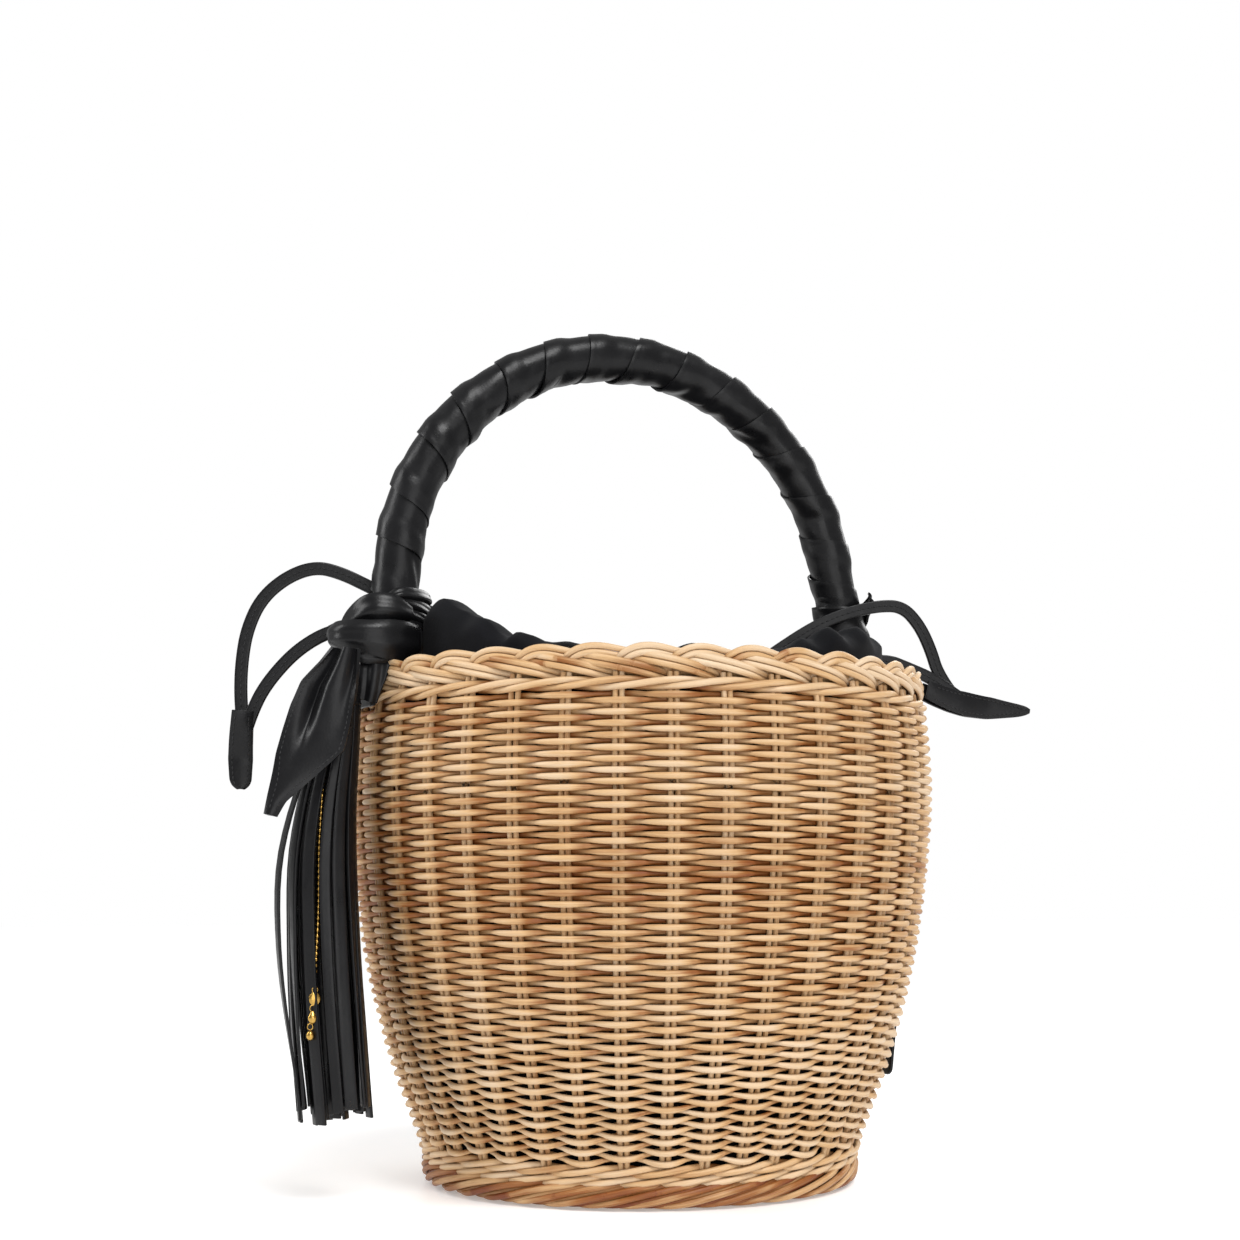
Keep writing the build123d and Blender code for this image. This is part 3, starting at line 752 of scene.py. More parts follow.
def pouch_cloth():
    """The cloth pouch: a flat bottom, a side that follows the wall, and a gathered, drawn mouth."""
    rng = np.random.default_rng(33)
    cloth = cloth_material()
    side_profile = smooth_line([(r * MM, z * MM, 0) for r, z in [(78, 9.5)] + POUCH_PATH], 40)
    soft = rng.uniform(-1, 1, (3, 40))

    def side_place(u, v):
        i = np.rint(v * 39).astype(int)
        angle = u * TURN
        sag = sum(np.sin(angle * (k * 5 + 6) + soft[k, 3] * 9) * (0.5 + 0.5 * np.sin(v * 7 + soft[k, 5] * 9))
                  for k in range(3))
        drawn = 0.0010 * np.cos(angle * 46 + 2 * np.sin(angle * 3)) * smoothstep(0.8, 1.0, v)
        return polar(side_profile[i, 0] - 0.7 * MM + 0.45 * MM * sag * np.sin(math.pi * v) + drawn, angle,
                     side_profile[i, 1])
    side = skin("pouch_wall", 230, 39, side_place, 1.0 * MM, cloth, closed=True, edge=0,
                smooth=0)

    def bottom_place(u, v):
        reach = v * 78.5 * MM
        rise = 0.0035 * smoothstep(0.88, 1.0, v) + 0.0002 * np.sin(u * 75) * v
        return polar(reach, u * TURN, 6.2 * MM + rise)
    bottom = skin("pouch_bottom_cloth", 120, 20, bottom_place, 1.0 * MM, cloth, closed=True,
                  edge=0, smooth=0)
    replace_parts(bottom, "pouch_bottom")

    lobes = [(-180, 221), (-172, 228), (-165, 230), (-158, 226.5), (-153, 220), (-149, 217.3), (-145, 216),
             (-140, 212), (-134, 212), (-127, 208.5), (-118, 207.2), (-100, 207), (-92, 208.5), (-86, 207),
             (-79, 211), (-75, 209.5), (-70, 213.5), (-63, 218), (-55, 220), (-46, 221), (-35, 221.5),
             (-27, 217.5),
             (-15, 214), (0, 212.5), (14, 214), (26, 217), (36, 213), (50, 209.5), (62, 212), (76, 208.5),
             (90, 208), (108, 210), (122, 208.5), (136, 213), (148, 216), (158, 213), (168, 217), (180, 221)]
    lobe_angle = np.radians([angle for angle, _ in lobes])
    lobe_height = np.array([height for _, height in lobes]) * MM
    pleat_shift = np.cumsum(rng.uniform(0.6, 1.4, 49))
    pleat_shift = pleat_shift / pleat_shift[-1] * TURN

    def pleats(angle):
        return np.interp(angle % TURN, pleat_shift, np.arange(49)) * TURN

    def collar_place(u, v):
        angle = u * TURN
        folded = (angle + math.pi) % TURN - math.pi
        crest = np.interp(folded, lobe_angle, lobe_height)
        puff = 0.5 + 0.5 * np.cos(angle * 17 + 2.5 * np.sin(angle * 3 + 1))
        wave = np.cos(pleats(angle) * 0.5 + 0.9 * np.sin(angle * 5))
        fine = np.cos(pleats(angle) + 1.1 * np.sin(angle * 4))
        wall_r, wall_z = 100.8 * MM, 193.0 * MM
        mouth_r = MOUTH[0] * MOUTH[1] / np.hypot(MOUTH[1] * np.cos(angle), MOUTH[0] * np.sin(angle))
        rise = np.sin(math.pi * 0.5 * np.clip(v / 0.42, 0, 1))
        fall = smoothstep(0.42, 1.0, v)
        radius = wall_r + (94 * MM - wall_r) * smoothstep(0.16, 0.42, v)
        radius = radius + (mouth_r + 1.2 * MM - radius) * np.clip((v - 0.42) / 0.58, 0, 1) ** 0.85
        z = wall_z + (crest - wall_z) * rise + (204.5 * MM - crest) * fall
        z = z + (1.5 * MM * wave * np.sin(math.pi * np.clip(v * 1.12, 0, 1))
                 + 1.0 * MM * fine * smoothstep(0.45, 0.95, v)
                 - 2.2 * MM * puff * np.exp(-((v - 0.42) / 0.16) ** 2))
        near = smoothstep(0.0, 0.16, v)
        radius = radius + near * (1.1 * MM * wave * (1 - v) + 0.7 * MM * fine * v)
        above = smoothstep(198 * MM, 206 * MM, z)
        for leg, reach in ((math.pi, 91.5 * MM), (0.0, 85.0 * MM)):
            apart = np.abs((angle - leg + math.pi) % TURN - math.pi)
            limit = reach + 14 * MM * smoothstep(math.radians(6), math.radians(12), apart)
            radius = radius + above * (np.minimum(radius, limit) - radius)
        return polar(np.clip(radius, 0, 101.8 * MM), angle, z)
    collar = skin("pouch_ruffle", 330, 34, collar_place, 1.1 * MM, cloth, closed=True,
                  edge=0, smooth=0)
    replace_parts(collar, "pouch_collar")
    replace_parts(side, "pouch_side")

    def hem_place(u, v):
        angle = u * TURN
        fine = np.cos(pleats(angle) + 1.1 * np.sin(angle * 4))
        grow = 1 + 0.16 * fine
        round_it = v * TURN
        reach = 5.6 * MM * grow
        scale = mouth_line(angle, 6.0 * MM)
        return polar(scale + reach * np.cos(round_it), angle,
                     200.3 * MM + 1.0 * MM * fine + 4.9 * MM * np.sin(round_it) * grow)
    hem = skin("pouch_hem", 330, 18, hem_place, 0.8 * MM, cloth, closed=True, edge=0,
               smooth=0)
    hidden = []
    for name, inset in (("drawcord_left_channel", 3.6), ("drawcord_right_channel", 8.0)):
        angle = np.linspace(0, TURN, 121)[:-1]
        scale = mouth_line(angle, inset * MM)
        loop = canes(name + "_run", [(polar(scale, angle, 200.3 * MM), 1.25 * MM, 0.5)], 8, leather_material(),
                     cyclic=True)
        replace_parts(loop, name)
        hidden.append(loop)
    for piece in (side, collar, hem, *hidden):
        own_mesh(piece)


# ---------------------------------------------------------------- drawcords

STRAP_WIDTH = 5.2 * MM
STRAP_THICK = 2.2 * MM
LEFT_PLANE = (-110.0, 19.0, 165.0)
RIGHT_PLANE = (100.0, -13.5, -15.0)
ROUTES = {
    "left_upper": (LEFT_PLANE, 0.0, [(-52, 217.5), (-40, 224.5), (-27, 229.5), (-13, 234), (-1, 239.5),
                                     (10.5, 245),
                                     (21, 247.5), (32.5, 243), (42.5, 234), (48, 221.5), (50, 208.5), (50.4, 197),
                                     (49.8, 187), (49.2, 180)]),
    "left_lower": (LEFT_PLANE, -1.0, [(-8.5, 215.8), (1.5, 222.5), (14, 222.3), (27.5, 214.5), (38.5, 202.5),
                                      (45, 191.5), (48, 182)]),
    "right_upper": (RIGHT_PLANE, 0.0, [(-43, 217.5), (-33, 224.5), (-20.5, 232), (-8, 237), (5, 240), (15.5, 240),
                                       (23, 232), (28, 221.5), (31.2, 211), (37, 203.5)]),
    "right_lower": (RIGHT_PLANE, 1.0, [(-5, 215), (6.5, 217.3), (18.5, 212.8), (29, 208.5), (38.5, 202)]),
}


def plane_axes(plane):
    """A strap plane's origin, outward direction and normal."""
    x, y, turn = plane
    turn = math.radians(turn)
    out = np.array([math.cos(turn), math.sin(turn), 0])
    return np.array([x * MM, y * MM, 0]), out, np.cross(out, (0, 0, 1))


def route_points(plane, layers, route):
    origin, out, normal = plane_axes(plane)
    return [origin + out * across * MM + np.array([0, 0, up * MM]) + normal * layers * 2.3 * MM
            for across, up in route]


def spline_line(name, points):
    """Points read from the one smooth spline that a strap follows."""
    curve = bpy.data.curves.new(name, "CURVE")
    curve.dimensions = "3D"
    curve.resolution_u = 12
    spline = curve.splines.new("NURBS")
    spline.points.add(len(points) - 1)
    for point, where in zip(spline.points, points):
        point.co = (*where, 1)
    spline.order_u = 3
    spline.use_endpoint_u = True
    holder = link(bpy.data.objects.new(name, curve))
    bpy.context.view_layer.update()
    mesh = bpy.data.meshes.new_from_object(holder)
    line = np.array([v.co for v in mesh.vertices])
    bpy.data.meshes.remove(mesh)
    remove(holder)
    return line


def strap_mesh(name, line, normal):
    """A flat strap with rounded, raised edges, a groove along each stitch line and closed ends."""
    sides = 20
    count = len(line)
    _, side, lift = frames_along(line, np.broadcast_to(normal, line.shape))

    def place(u, v):
        i = np.rint(v * (count - 1)).astype(int)
        turn = u * TURN
        across = np.sign(np.cos(turn)) * np.abs(np.cos(turn)) ** 0.42 * STRAP_WIDTH / 2
        face = np.sign(np.sin(turn)) * np.abs(np.sin(turn)) ** 0.34 * STRAP_THICK / 2
        groove = 1 - 0.16 * np.exp(-(across / 0.00042) ** 2)
        return line[i] + side[i] * across[:, None] + lift[i] * (face * groove)[:, None]
    mesh = grid_mesh(name, sides, count - 1, place, closed=True)
    bm = bmesh.new()
    bm.from_mesh(mesh)
    bmesh.ops.holes_fill(bm, edges=[e for e in bm.edges if e.is_boundary], sides=0)
    bmesh.ops.recalc_face_normals(bm, faces=bm.faces)
    bm.to_mesh(mesh)
    bm.free()
    return mesh, lift


def tab_leaf(side_name, leaf, face, tab):
    """One leaf of a tab: tapered, with a clipped point, its mouth flaring away from the straps."""
    plane, end_out, end_up, angle, length, width, flare, curl_size = tab
    origin, out, normal = plane_axes(plane)
    towards = normal * face
    angle = math.radians(angle)
    start = origin + out * end_out * MM + np.array([0, 0, end_up * MM])
    along = out * math.cos(angle) + np.array([0, 0, math.sin(angle)])
    across = -out * math.sin(angle) + np.array([0, 0, math.cos(angle)])

    def half_width(v):
        return width / 2 * np.interp(v, [0, 0.14, 0.40, 0.62, 0.90, 0.97, 1.0],
                                     [0.74, 0.84, 1.0, 0.95, 0.52, 0.34, 0.12] if side_name == "right"
                                     else [0.86, 0.88, 0.95, 1.0, 0.88, 0.62, 0.28])

    def spot(u, v, lift=0.0):
        w = 2 * u - 1
        spread = flare * (1 - smoothstep(0.0, 0.36, v)) * (1 + 0.35 * w)
        close = 0.0002 + 0.0022 * (1 - smoothstep(0.3, 0.62, v))
        curl = np.interp(v, [0, 0.1, 0.25, 0.42, 0.58, 0.75, 0.9, 1],
                         curl_size * np.array([0, 0.42, 0.86, 1.0, 0.9, 0.6, 0.27, 0]))
        height = close + spread + 0.0005 * (1 - w * w) + lift
        return (start + np.outer(v * length, along) + np.outer(w * half_width(v) + curl, across)
                + np.outer(height, towards))
    piece = skin("tab_leaf_%s_%s" % (side_name, leaf), 10, 26, spot, 1.2 * MM, leather_material(),
                 body="drawcord_" + side_name)
    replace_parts(piece, "tab_%s_%s" % (side_name, leaf))
    v = np.linspace(0.08, 0.95, 40)
    inset = 1 - 1.5 * MM / half_width(v)
    threads = []
    for number, sign in enumerate((-1, 1)):
        line = spot((1 + sign * inset) / 2, v, 0.66 * MM)
        threads.append(stitches("tab_stitches_%s_%s_%d" % (side_name, leaf, number + 1), line, towards,
                                "drawcord_" + side_name, pitch=2.0 * MM, size=0.27 * MM))
    return piece, threads


def drawcords():
    """The flat straps that close the pouch, each pair ending in a two-leaved tab."""
    tabs = {"left": (LEFT_PLANE, 49.3, 189.4, -88.0, 31 * MM, 9.6 * MM, 1.9 * MM, 0.5 * MM),
            "right": (RIGHT_PLANE, 25.2, 204.2, -10.3, 47.5 * MM, 10.0 * MM, 1.5 * MM, -2.6 * MM)}
    for side_name, tab in tabs.items():
        _, _, normal = plane_axes(tab[0])
        toward_front = -1 if normal[1] > 0 else 1
        made = []
        for leaf, face in (("front", toward_front), ("back", -toward_front)):
            piece, threads = tab_leaf(side_name, leaf, face, tab)
            made += [piece, *threads]
        for run in ("upper", "lower"):
            plane, layers, route = ROUTES["%s_%s" % (side_name, run)]
            points = route_points(plane, layers, route)
            line = spline_line("strap_%s_%s_line" % (side_name, run), points)
            mesh, lift = strap_mesh("strap_%s_%s" % (side_name, run), line, normal)
            strap = finish_piece("strap_%s_%s" % (side_name, run), mesh, leather_material(), "basket")
            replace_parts(strap, "drawcord_%s_%s" % (side_name, run))
            threads = [stitches("strap_stitches_%s_%s_%s" % (side_name, run, word),
                                line + lift * sign * (STRAP_THICK / 2 - 0.1 * MM), lift * sign, "basket",
                                pitch=2.4 * MM, size=0.27 * MM) for word, sign in (("front", -1), ("back", 1))]
            for piece in (strap, *threads):
                piece.parent = None
                piece.matrix_world = Matrix.Identity(4)
                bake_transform(piece)


# ---------------------------------------------------------------- scarf knot and tail

def seen(lateral, toward, z):
    """A point by its distance right and towards the viewer of the basket's middle, and its height."""
    turn = math.radians(23)
    right = Vector((math.cos(turn), -math.sin(turn), 0))
    ahead = Vector((math.sin(turn), math.cos(turn), 0))
    return (right * lateral - ahead * toward + Vector((0, 0, z))) * MM


def scarf_knot():
    """The scarf tied round the left leg: wound bands, a pinched fan, an upper lobe and a lower loop."""
    material = leather_material("scarf_leather", rough=(0.27, 0.36))
    leg_x, low = -106.4 * MM, 212.5 * MM

    def wound_place(u, v):
        angle = u * TURN
        swell = 2.2 * MM * np.sin(math.pi * np.clip(v, 0, 1)) ** 0.6
        crease = 0.7 * MM * np.sin(v * 15 + 1.6 * np.sin(angle + 0.6) + 0.5 * np.sin(angle * 3))
        radius = 9.9 * MM + swell + crease * np.sin(math.pi * v) ** 0.5
        spots = polar(radius, angle, low + v * 17.5 * MM + 1.6 * MM * np.cos(angle - 2.3) * (v - 0.3))
        return spots + np.stack([leg_x + (v - 0.5) * 1.4 * MM, 0 * v, 0 * v], axis=1)
    wound = skin("knot_wound_band", 96, 26, wound_place, 1.2 * MM, material, closed=True, smooth=0, edge=0)
    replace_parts(wound, "scarf_knot")
    bm = bmesh.new()
    bmesh.ops.create_icosphere(bm, subdivisions=5, radius=1.0)
    middle, size = seen(-104, 50.5, 219.5), Vector((10.0, 8.0, 9.0)) * MM
    for vertex in bm.verts:
        p = vertex.co.copy()
        ridge = 1 - abs(math.sin(p.z * 3.2 + 0.8 * math.sin(p.x * 2.2 + 2) + 0.4 * noise.noise(p * 2)))
        vertex.co = Vector(a * b for a, b in zip(p * (1 - 0.12 * ridge ** 3), size)) + middle
    mesh = mesh_from("knot_heart", bm)
    finish_piece("knot_heart", mesh, material, "basket")
    facing = tuple(seen(0, 1, 0).normalized())

    def fold(name, points, widths, **shape):
        line = smooth_line([tuple(seen(*point)) for point in points], 44)
        return band(name, line, [w * MM for w in widths], facing, material, thick=1.25 * MM, **shape)
    fold("knot_upper_lobe", [(-89.5, 55, 224.5), (-94.5, 60, 225.5), (-101, 62, 225.0), (-107.5, 58, 221.5),
                             (-111.6, 51, 218), (-111, 43, 216)], [7, 12, 13.5, 12.5, 10, 7],
         cup=0.0030, folds=0.0004, seed=1)
    for number, (near, far) in enumerate(((231.5, 232), (228.6, 227), (225.0, 222.5), (221.6, 218.3))):
        fold("knot_fan_%d" % (number + 1), [(-97.5, 57.5, 0.5 * (226 + near)), (-93, 57, near),
                                            (-87.5, 52, 0.5 * (near + far)), (-84.2, 44, far),
                                            (-84.8, 35, far), (-90, 28.5, far)],
             [3.5, 5.6, 6.0, 5.6, 5.0, 4.5], cup=0.0017, folds=0.0003, seed=number)
    fold("knot_lower_loop", [(-88.5, 44, 213), (-87.5, 53, 213.2), (-91, 61.5, 213.4), (-98, 66.5, 213.8),
                             (-106, 68, 214.8), (-112.5, 66.5, 215.4), (-116.6, 61, 215.6), (-116, 53, 215.5),
                             (-110, 47, 215)], [13, 15, 15.5, 15, 12, 10.4, 9.6, 9, 9],
         cup=0.0024, folds=0.0003, seed=4)
    fold("knot_under_fold", [(-92, 59, 211), (-98, 63.5, 209), (-106, 66, 208.5), (-112, 64, 210.5)],
         [7, 8, 7, 5], cup=0.0014, folds=0.0004, seed=6)
    fold("knot_rim_strap", [(-100, 58, 211), (-100.6, 62.4, 206.5), (-101.5, 64.2, 201), (-103, 64.6, 196),
                            (-104.6, 63.5, 190.5)], [12, 11.5, 11, 10, 9], cup=0.0010, folds=0.0005, seed=3)


def scarf_end():
    """The scarf's loose end: gathered under the loop, opening in soft folds to a clipped, stitched point."""
    left = np.array([(-9.4, 4.5), (-13.5, -1), (-20.5, -8.4), (-24.2, -17.5), (-26.7, -27.2), (-28.7, -36),
                     (-29.6, -43.4), (-31, -52), (-31.9, -58.8)])
    right = np.array([(0.6, 4.0), (0.2, -11.4), (-1.5, -24.6), (-3.8, -35.1), (-14.3, -44.9), (-24.5, -54),
                      (-27.6, -59.8)])
    marks_left = np.array([0, 0.11, 0.24, 0.37, 0.50, 0.62, 0.72, 0.88, 1.0])
    marks_right = np.array([0, 0.22, 0.42, 0.57, 0.75, 0.92, 1.0])

    def spot(u, v, lift=0.0):
        edge_a = np.stack([np.interp(v, marks_left, left[:, k]) for k in (0, 1)], axis=1)
        edge_b = np.stack([np.interp(v, marks_right, right[:, k]) for k in (0, 1)], axis=1)
        flat = edge_a + (edge_b - edge_a) * u[:, None]
        gather = 1 - smoothstep(0.05, 0.60, v)
        fold = 1.6 * gather * np.cos(u * 10.0 + 0.7) + 0.25 * gather * np.cos(u * 23 + 2.2)
        hollow = -3.4 * np.exp(-((u - 0.34) / 0.11) ** 2) * np.exp(-((v - 0.34) / 0.20) ** 2)
        sway = 1.2 * np.sin(u * 3.0 + 0.4) * smoothstep(0.2, 0.9, v)
        toward = 75.2 + fold + hollow + sway + lift - 0.24 * flat[:, 1]
        return np.array([seen(*p) for p in zip(-106 + flat[:, 0], toward, 205 + flat[:, 1])])
    tail = skin("scarf_loose_end", 46, 60, spot, 1.3 * MM, leather_material("scarf_leather"),
                body="scarf_tail", flip=True)
    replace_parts(tail, "scarf_tail")
    v = np.linspace(0.02, 0.97, 90)
    for name in ("right", "left"):
        width = np.interp(v, [0, 0.5, 0.62, 1.0], [0.10, 0.06, 0.07, 0.33])
        line = spot(1 - width if name == "right" else width, v, 0.68)
        stitches("tail_stitches_" + name, line, tuple(seen(0, 1, 0)), "scarf_tail", pitch=2.1 * MM, size=0.24 * MM)


# ---------------------------------------------------------------- tassel

TASSEL_AXIS = (-129.0 * MM, -15.0 * MM)
STRIP_TOP = 190 * MM
CAP_TURNS = 2.15
CHARM_DROP = 6.8


def tassel():
    """The tassel: a looped hanger, a wrapped cap and a full bundle of strips."""
    rng = np.random.default_rng(77)
    material = leather_material()
    x, y = TASSEL_AXIS

    heights = np.array([29, 37, 70, 100, 134, 152, 168, 180, 190]) * MM
    axis_x = np.array([-132.2, -132.8, -135.4, -137.0, -137.2, -135.4, -132.6, -130.2, -129]) * MM
    spread = np.array([1.0, 1.0, 1.03, 1.0, 0.92, 0.80, 0.66, 0.52, 0.45])
    shape = smooth_line(np.stack([heights, axis_x, spread * 0.02], axis=1), 80)
    heights, axis_x, spread = shape[:, 0], shape[:, 1], shape[:, 2] / 0.02

    def strip(bm, angle, reach, low, width, bow, twist):
        out = np.array([math.cos(angle), math.sin(angle), 0])
        side = np.array([-math.sin(angle), math.cos(angle), 0])
        made = bmesh.ops.create_grid(bm, x_segments=3, y_segments=22, size=1.0)["verts"]
        for vertex in made:
            w, v = vertex.co.x, (vertex.co.y + 1) / 2
            z = STRIP_TOP + (low - STRIP_TOP) * v
            far = reach * np.interp(z, heights, spread) + bow * math.sin(math.pi * v) ** 2
            roll = twist * v * v
            across = side * math.cos(roll) + out * math.sin(roll)
            middle = np.array([np.interp(z, heights, axis_x), y - 1.5 * MM * v, z])
            vertex.co = Vector(middle + out * far + across * w * width / 2 * (0.62 + 0.38 * min(1, v * 2.5)))
    bm = bmesh.new()
    for row, (count, reach) in enumerate(((14, 13.6), (10, 9.4), (5, 4.6))):
        for i in range(count):
            angle = TURN * (i + rng.uniform(-0.25, 0.25) + 0.5 * row) / count
            strip(bm, angle, (reach + rng.uniform(-1.3, 0.8)) * MM, rng.uniform(29.5, 37) * MM,
                  rng.uniform(4.0, 5.0) * MM, rng.uniform(-0.9, 0.9) * MM, rng.uniform(-0.9, 0.9))
    strip(bm, math.radians(-168), 14.4 * MM, 32 * MM, 4.4 * MM, 4.2 * MM, 0.5)
    raw = mesh_from("fringe_strips", bm)
    steps = [("SOLIDIFY", {"thickness": 1.15 * MM, "offset": 0.0}),
             ("BEVEL", {"width": 0.3 * MM, "segments": 2, "limit_method": "ANGLE",
                        "angle_limit": EDGE_ANGLE})]
    fringe = finish_piece("fringe_strips", settled("fringe_strips", raw, steps), material, "tassel")
    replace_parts(fringe, "fringe_outer", "fringe_inner")

    def cap_place(u, v):
        wound = v * CAP_TURNS
        angle = wound * TURN
        z = 186.0 * MM + (u * 8.5 + wound * 3.4) * MM
        radius = 6.0 * MM + 0.30 * MM * (CAP_TURNS - wound) * 0.4 + 0.5 * MM * (1 - smoothstep(0.0, 0.12, u))
        radius = radius - 2.2 * MM * smoothstep(196.5 * MM, 202.6 * MM, z)
        spots = polar(radius, angle + 0.6, np.minimum(z, 202.4 * MM))
        return spots + np.array([x, y, 0])
    cap = skin("tassel_cap_wrap", 12, 150, cap_place, 0.9 * MM, material, body="tassel", smooth=0)
    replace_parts(cap, "tassel_cap")

    def loop_place(u, v):
        turn = v * TURN
        z = 206.6 * MM + 6.3 * MM * np.sin(turn)
        sway = 1.5 * MM * np.cos(turn)
        width = (u - 0.5) * 5.4 * MM
        return np.stack([x + 2 * MM + width, y + sway, z], axis=1)
    hanger = skin("tassel_hanger_loop", 6, 40, loop_place, 0.9 * MM, material, body="tassel_link", closed=True,
                  smooth=0)
    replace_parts(hanger, "tassel_hanger")


def chain_and_charms():
    """The gold ball chain among the strips, with three plain charms on its end."""
    gold = gold_material()
    top = Vector((*TASSEL_AXIS, 185.0 * MM))
    line = smooth_line([tuple(top)] + [tuple(seen(*point)) for point in
                       ((-117, 71, 172), (-120, 75.4, 140), (-120.2, 77.8, 110), (-121.4, 79.6, 82))], 200)
    steps = np.concatenate([[0], np.cumsum(np.linalg.norm(np.diff(line, axis=0), axis=1))])
    bm = bmesh.new()
    for mark in np.arange(0.001, steps[-1], 2.2 * MM):
        where = [np.interp(mark, steps, line[:, k]) for k in range(3)]
        bmesh.ops.create_icosphere(bm, subdivisions=2, radius=0.92 * MM, matrix=Matrix.Translation(where))
    mesh = mesh_from("gold_balls", bm)
    balls = finish_piece("gold_balls", mesh, gold, "tassel")
    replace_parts(balls, "ball_chain")
    canes("gold_chain_wire", [(line, 0.3 * MM, 0.5)], 6, gold, body="tassel")
    end = line[-1]
    bm = bmesh.new()
    for index, (width, height) in enumerate(((4.6, 5.4), (3.8, 4.4), (3.2, 3.8))):
        middle = Vector(end) + Vector((-0.9 * MM * index, -1.2 * MM, (-4.2 - CHARM_DROP * index) * MM))
        made = bmesh.ops.create_uvsphere(bm, u_segments=20, v_segments=12, radius=1.0)["verts"]
        for vertex in made:
            p = vertex.co
            if index == 0:
                vertex.co = Vector((p.x, p.y * 0.32, p.z))
            elif index == 1:
                taper = 1 - 0.55 * max(0.0, p.z)
                vertex.co = Vector((p.x * taper, p.y * taper * 0.8, p.z * 1.15))
        bmesh.ops.transform(bm, verts=made, matrix=Matrix.Translation(middle) @ Matrix.Diagonal(
            (width / 2 * MM, width / 2 * MM, height / 2 * MM, 1)))
    mesh = mesh_from("gold_charms", bm)
    charms = finish_piece("gold_charms", mesh, gold, "tassel")
    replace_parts(charms, "charms")
    rings = []
    for index in range(3):
        middle = np.array(end) + np.array([-0.9 * MM * index, -1.2 * MM, (-0.9 - CHARM_DROP * index) * MM])
        turn = np.arange(16) * TURN / 16
        ring = middle + np.stack([1.0 * MM * np.cos(turn), 0 * turn, 1.2 * MM * np.sin(turn)], axis=1)
        rings.append((ring, 0.24 * MM, 0.5))
    canes("charm_rings", rings, 6, gold, body="tassel", cyclic=True)


# ---------------------------------------------------------------- label

def label_patch():
    """A blank leather patch, sewn on along its top, its foot standing a little off the weave."""
    lean = math.radians(6.7)
    middle = np.array([108.3 * MM + 0.9 * MM, 0, 58.5 * MM])
    up = np.array([math.sin(lean), 0, math.cos(lean)])
    out = np.array([math.cos(lean), 0, -math.sin(lean)])

    def spot(u, v, lift=0.0):
        w = 2 * u - 1
        corner = np.sqrt(np.clip(1 - (np.clip(np.abs(2 * v - 1) - 0.86, 0, 1) / 0.14) ** 2, 0, 1))
        half = (19.6 + 2.4 * corner) * MM
        bow = -0.7 * MM * w * w + 0.5 * MM * (1 - v) ** 2 + lift
        return middle + np.outer(w * half, (0, 1, 0)) + np.outer((v - 0.5) * 38 * MM, up) + np.outer(bow, out)
    piece = skin("blank_label", 24, 22, spot, 1.6 * MM, leather_material("label_leather", rough=(0.34, 0.5)))
    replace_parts(piece, "label_patch")
    u = np.linspace(0.06, 0.94, 40)
    stitches("label_stitches", spot(u, np.full(40, 0.93), 0.85 * MM), out, "basket", pitch=2.4 * MM)


# ---------------------------------------------------------------- the stage

CAMERA_TURN = math.radians(23)
CAMERA_DISTANCE = 0.8
EYE_HEIGHT = 0.118


def stage_floor():
    bm = bmesh.new()
    bmesh.ops.create_grid(bm, x_segments=1, y_segments=1, size=6)
    mesh = mesh_from("floor", bm)
    material, tree, shader = nodes_of("pale_floor")
    if tree is not None:
        shader.inputs["Base Color"].default_value = (0.86, 0.86, 0.86, 1)
        shader.inputs["Emission Color"].default_value = (1, 1, 1, 1)
        shader.inputs["Emission Strength"].default_value = 0.3
        shader.inputs["Roughness"].default_value = 0.32
    mesh.materials.append(material)
    floor = link(bpy.data.objects.new("floor", mesh))
    floor.location.z = -0.0004


def area_light(name, place, aim, size, power):
    light = bpy.data.lights.new(name, "AREA")
    light.shape = "RECTANGLE"
    light.size, light.size_y = size
    light.energy = power
    lamp = link(bpy.data.objects.new(name, light))
    lamp.location = place
    lamp.rotation_euler = (Vector(aim) - Vector(place)).to_track_quat("-Z", "Y").to_euler()


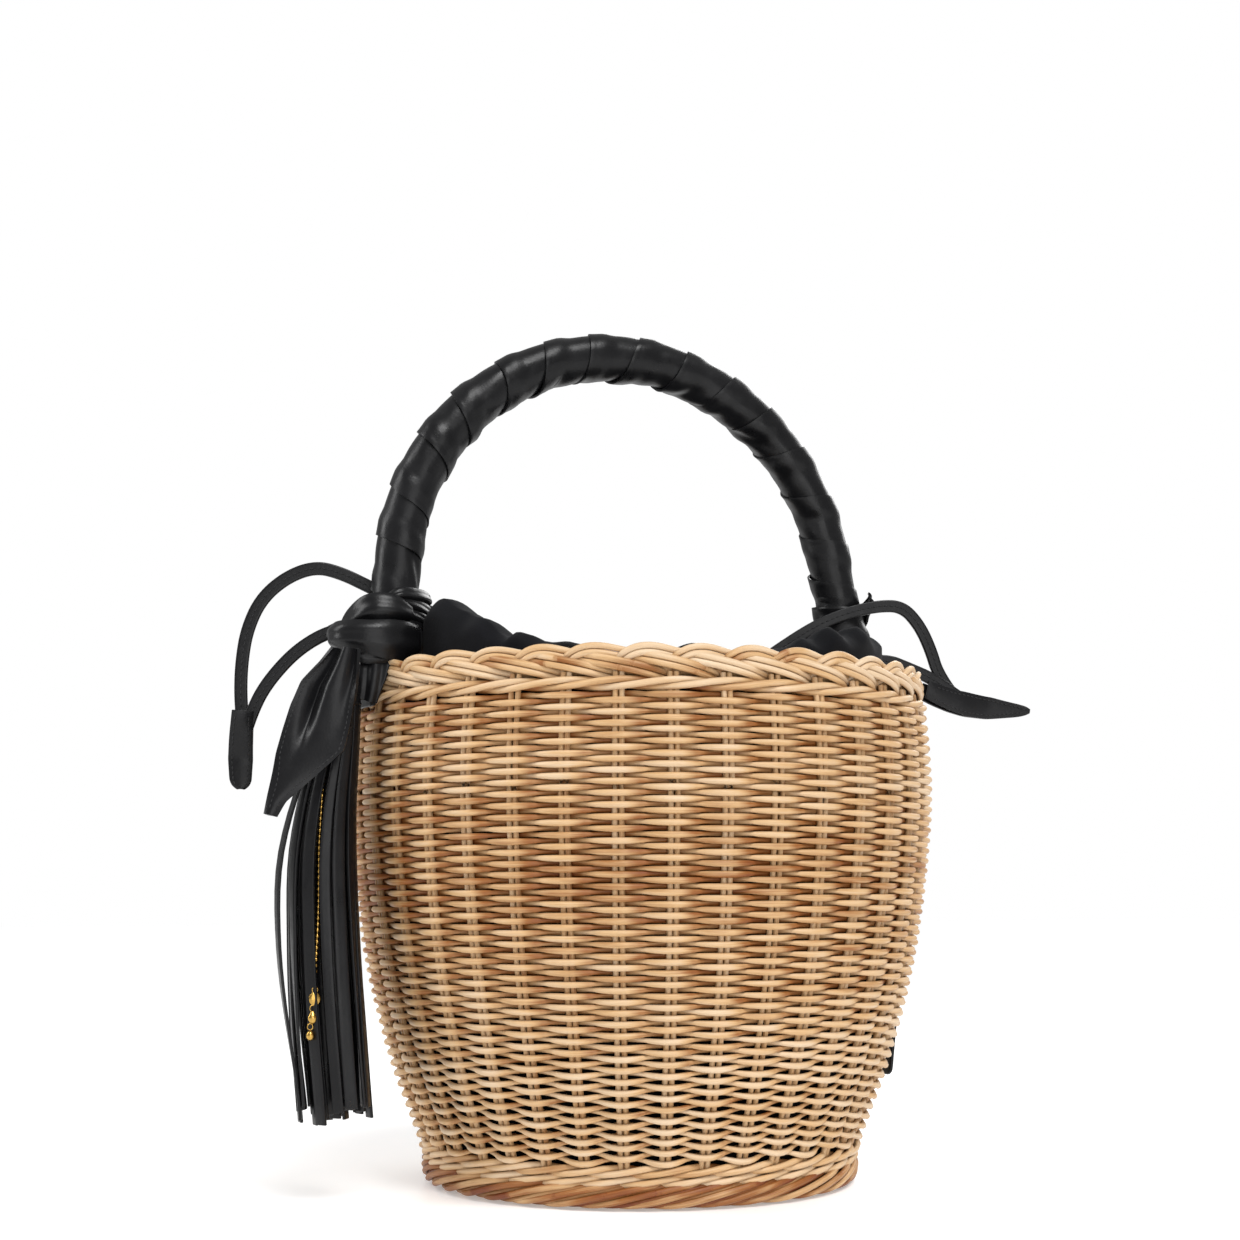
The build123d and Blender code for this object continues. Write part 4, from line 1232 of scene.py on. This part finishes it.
def camera_and_lights():
    back = Vector((-math.sin(CAMERA_TURN), -math.cos(CAMERA_TURN), 0))
    data = bpy.data.cameras.new("camera")
    data.lens = 56.1
    data.sensor_width = 36
    data.shift_x = -0.016
    data.shift_y = 0.2185
    camera = link(bpy.data.objects.new("camera", data))
    camera.location = back * CAMERA_DISTANCE + Vector((0, 0, EYE_HEIGHT))
    camera.rotation_euler = Euler((math.pi / 2, 0, -CAMERA_TURN))
    bpy.context.scene.camera = camera
    aim = (0, 0, 0.14)
    right = Vector((math.cos(CAMERA_TURN), -math.sin(CAMERA_TURN), 0))
    sun = bpy.data.lights.new("key", "SUN")
    sun.energy = 2.3
    sun.angle = math.radians(28)
    key = link(bpy.data.objects.new("key", sun))
    key.rotation_euler = (back * -0.75 - right * 0.42 + Vector((0, 0, -1.25))).to_track_quat("-Z", "Y").to_euler()
    area_light("front", back * 1.15 + right * 0.35 + Vector((0, 0, 0.35)), aim, (0.7, 0.9), 4.5)
    area_light("side", back * 0.15 - right * 1.05 + Vector((0, 0, 0.75)), aim, (0.35, 1.0), 7)
    area_light("behind", -back * 0.9 + right * 0.5 + Vector((0, 0, 0.8)), aim, (0.9, 0.5), 6)
    world = bpy.data.worlds.new("studio")
    world.use_nodes = True
    tree = world.node_tree
    background = tree.nodes["Background"]
    background.inputs["Color"].default_value = (1, 1, 1, 1)
    seen = add(tree, "ShaderNodeLightPath").outputs["Is Camera Ray"]
    strength = add(tree, "ShaderNodeMapRange", {"Value": seen, "To Min": 0.42, "To Max": 1.0}).outputs[0]
    tree.links.new(strength, background.inputs["Strength"])
    bpy.context.scene.world = world
    bpy.context.scene.view_settings.view_transform = "Standard"


# ---------------------------------------------------------------- operators

class BAG_OT_stage(bpy.types.Operator):
    """Make the pale floor, the lights and the camera"""
    bl_idname = "bag.stage"
    bl_label = "Stage"

    def execute(self, context):
        stage_floor()
        camera_and_lights()
        return {"FINISHED"}


class BAG_OT_wall(bpy.types.Operator):
    """Weave the wall on its stakes"""
    bl_idname = "bag.wall"
    bl_label = "Woven wall"

    def execute(self, context):
        weave_wall(WEAVE_LOW, WEAVE_HIGH)
        stake_canes()
        return {"FINISHED"}


class BAG_OT_borders(bpy.types.Operator):
    """Twine the wales and plait the foot and rim borders"""
    bl_idname = "bag.borders"
    bl_label = "Wales and borders"

    def execute(self, context):
        wale_rounds()
        rim_braid()
        foot_border()
        return {"FINISHED"}


class BAG_OT_base(bpy.types.Operator):
    """Weave the flat base"""
    bl_idname = "bag.base"
    bl_label = "Woven base"

    def execute(self, context):
        woven_base()
        return {"FINISHED"}


class BAG_OT_drawcords(bpy.types.Operator):
    """Lay the drawcord straps and their tabs"""
    bl_idname = "bag.drawcords"
    bl_label = "Drawcords and tabs"

    def execute(self, context):
        drawcords()
        return {"FINISHED"}


class BAG_OT_handle(bpy.types.Operator):
    """Wind the handle and lash it to the rim"""
    bl_idname = "bag.handle"
    bl_label = "Wrapped handle"

    def execute(self, context):
        wrapped_handle()
        rim_lashings()
        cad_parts["handle_core"].data.materials.clear()
        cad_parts["handle_core"].data.materials.append(cane_material())
        return {"FINISHED"}


class BAG_OT_pouch(bpy.types.Operator):
    """Sew the pouch and gather its mouth"""
    bl_idname = "bag.pouch"
    bl_label = "Drawstring pouch"

    def execute(self, context):
        pouch_cloth()
        return {"FINISHED"}


class BAG_OT_scarf(bpy.types.Operator):
    """Tie the scarf knot and hang its loose end"""
    bl_idname = "bag.scarf"
    bl_label = "Scarf knot and end"

    def execute(self, context):
        scarf_knot()
        scarf_end()
        return {"FINISHED"}


class BAG_OT_tassel(bpy.types.Operator):
    """Make the tassel with its chain and charms"""
    bl_idname = "bag.tassel"
    bl_label = "Tassel"

    def execute(self, context):
        tassel()
        chain_and_charms()
        return {"FINISHED"}


class BAG_OT_label(bpy.types.Operator):
    """Sew on the blank label"""
    bl_idname = "bag.label"
    bl_label = "Blank label"

    def execute(self, context):
        label_patch()
        return {"FINISHED"}


OPERATORS = [BAG_OT_stage, BAG_OT_drawcords, BAG_OT_wall, BAG_OT_borders, BAG_OT_base, BAG_OT_handle,
             BAG_OT_pouch, BAG_OT_scarf, BAG_OT_tassel, BAG_OT_label]


class BAG_PT_panel(bpy.types.Panel):
    """The bag's pieces and sizes"""
    bl_label = "Wicker Bucket Bag"
    bl_space_type = "VIEW_3D"
    bl_region_type = "UI"
    bl_category = "Basket"

    def draw(self, context):
        for operator in OPERATORS:
            self.layout.operator(operator.bl_idname)
        for group in (context.scene.basket_cane, context.scene.bag_leather):
            for name in group.bl_rna.properties.keys():
                if name not in ("rna_type", "name"):
                    self.layout.prop(group, name)


CLASSES = [BasketCane, BagLeather, *OPERATORS, BAG_PT_panel]


def register():
    for item in CLASSES:
        bpy.utils.register_class(item)
    bpy.types.Scene.basket_cane = bpy.props.PointerProperty(type=BasketCane)
    bpy.types.Scene.bag_leather = bpy.props.PointerProperty(type=BagLeather)


def unregister():
    del bpy.types.Scene.basket_cane
    del bpy.types.Scene.bag_leather
    for item in reversed(CLASSES):
        bpy.utils.unregister_class(item)


def main():
    register()
    for operator in OPERATORS:
        group, name = operator.bl_idname.split(".")
        getattr(getattr(bpy.ops, group), name)()


if __name__ == "__main__":
    main()
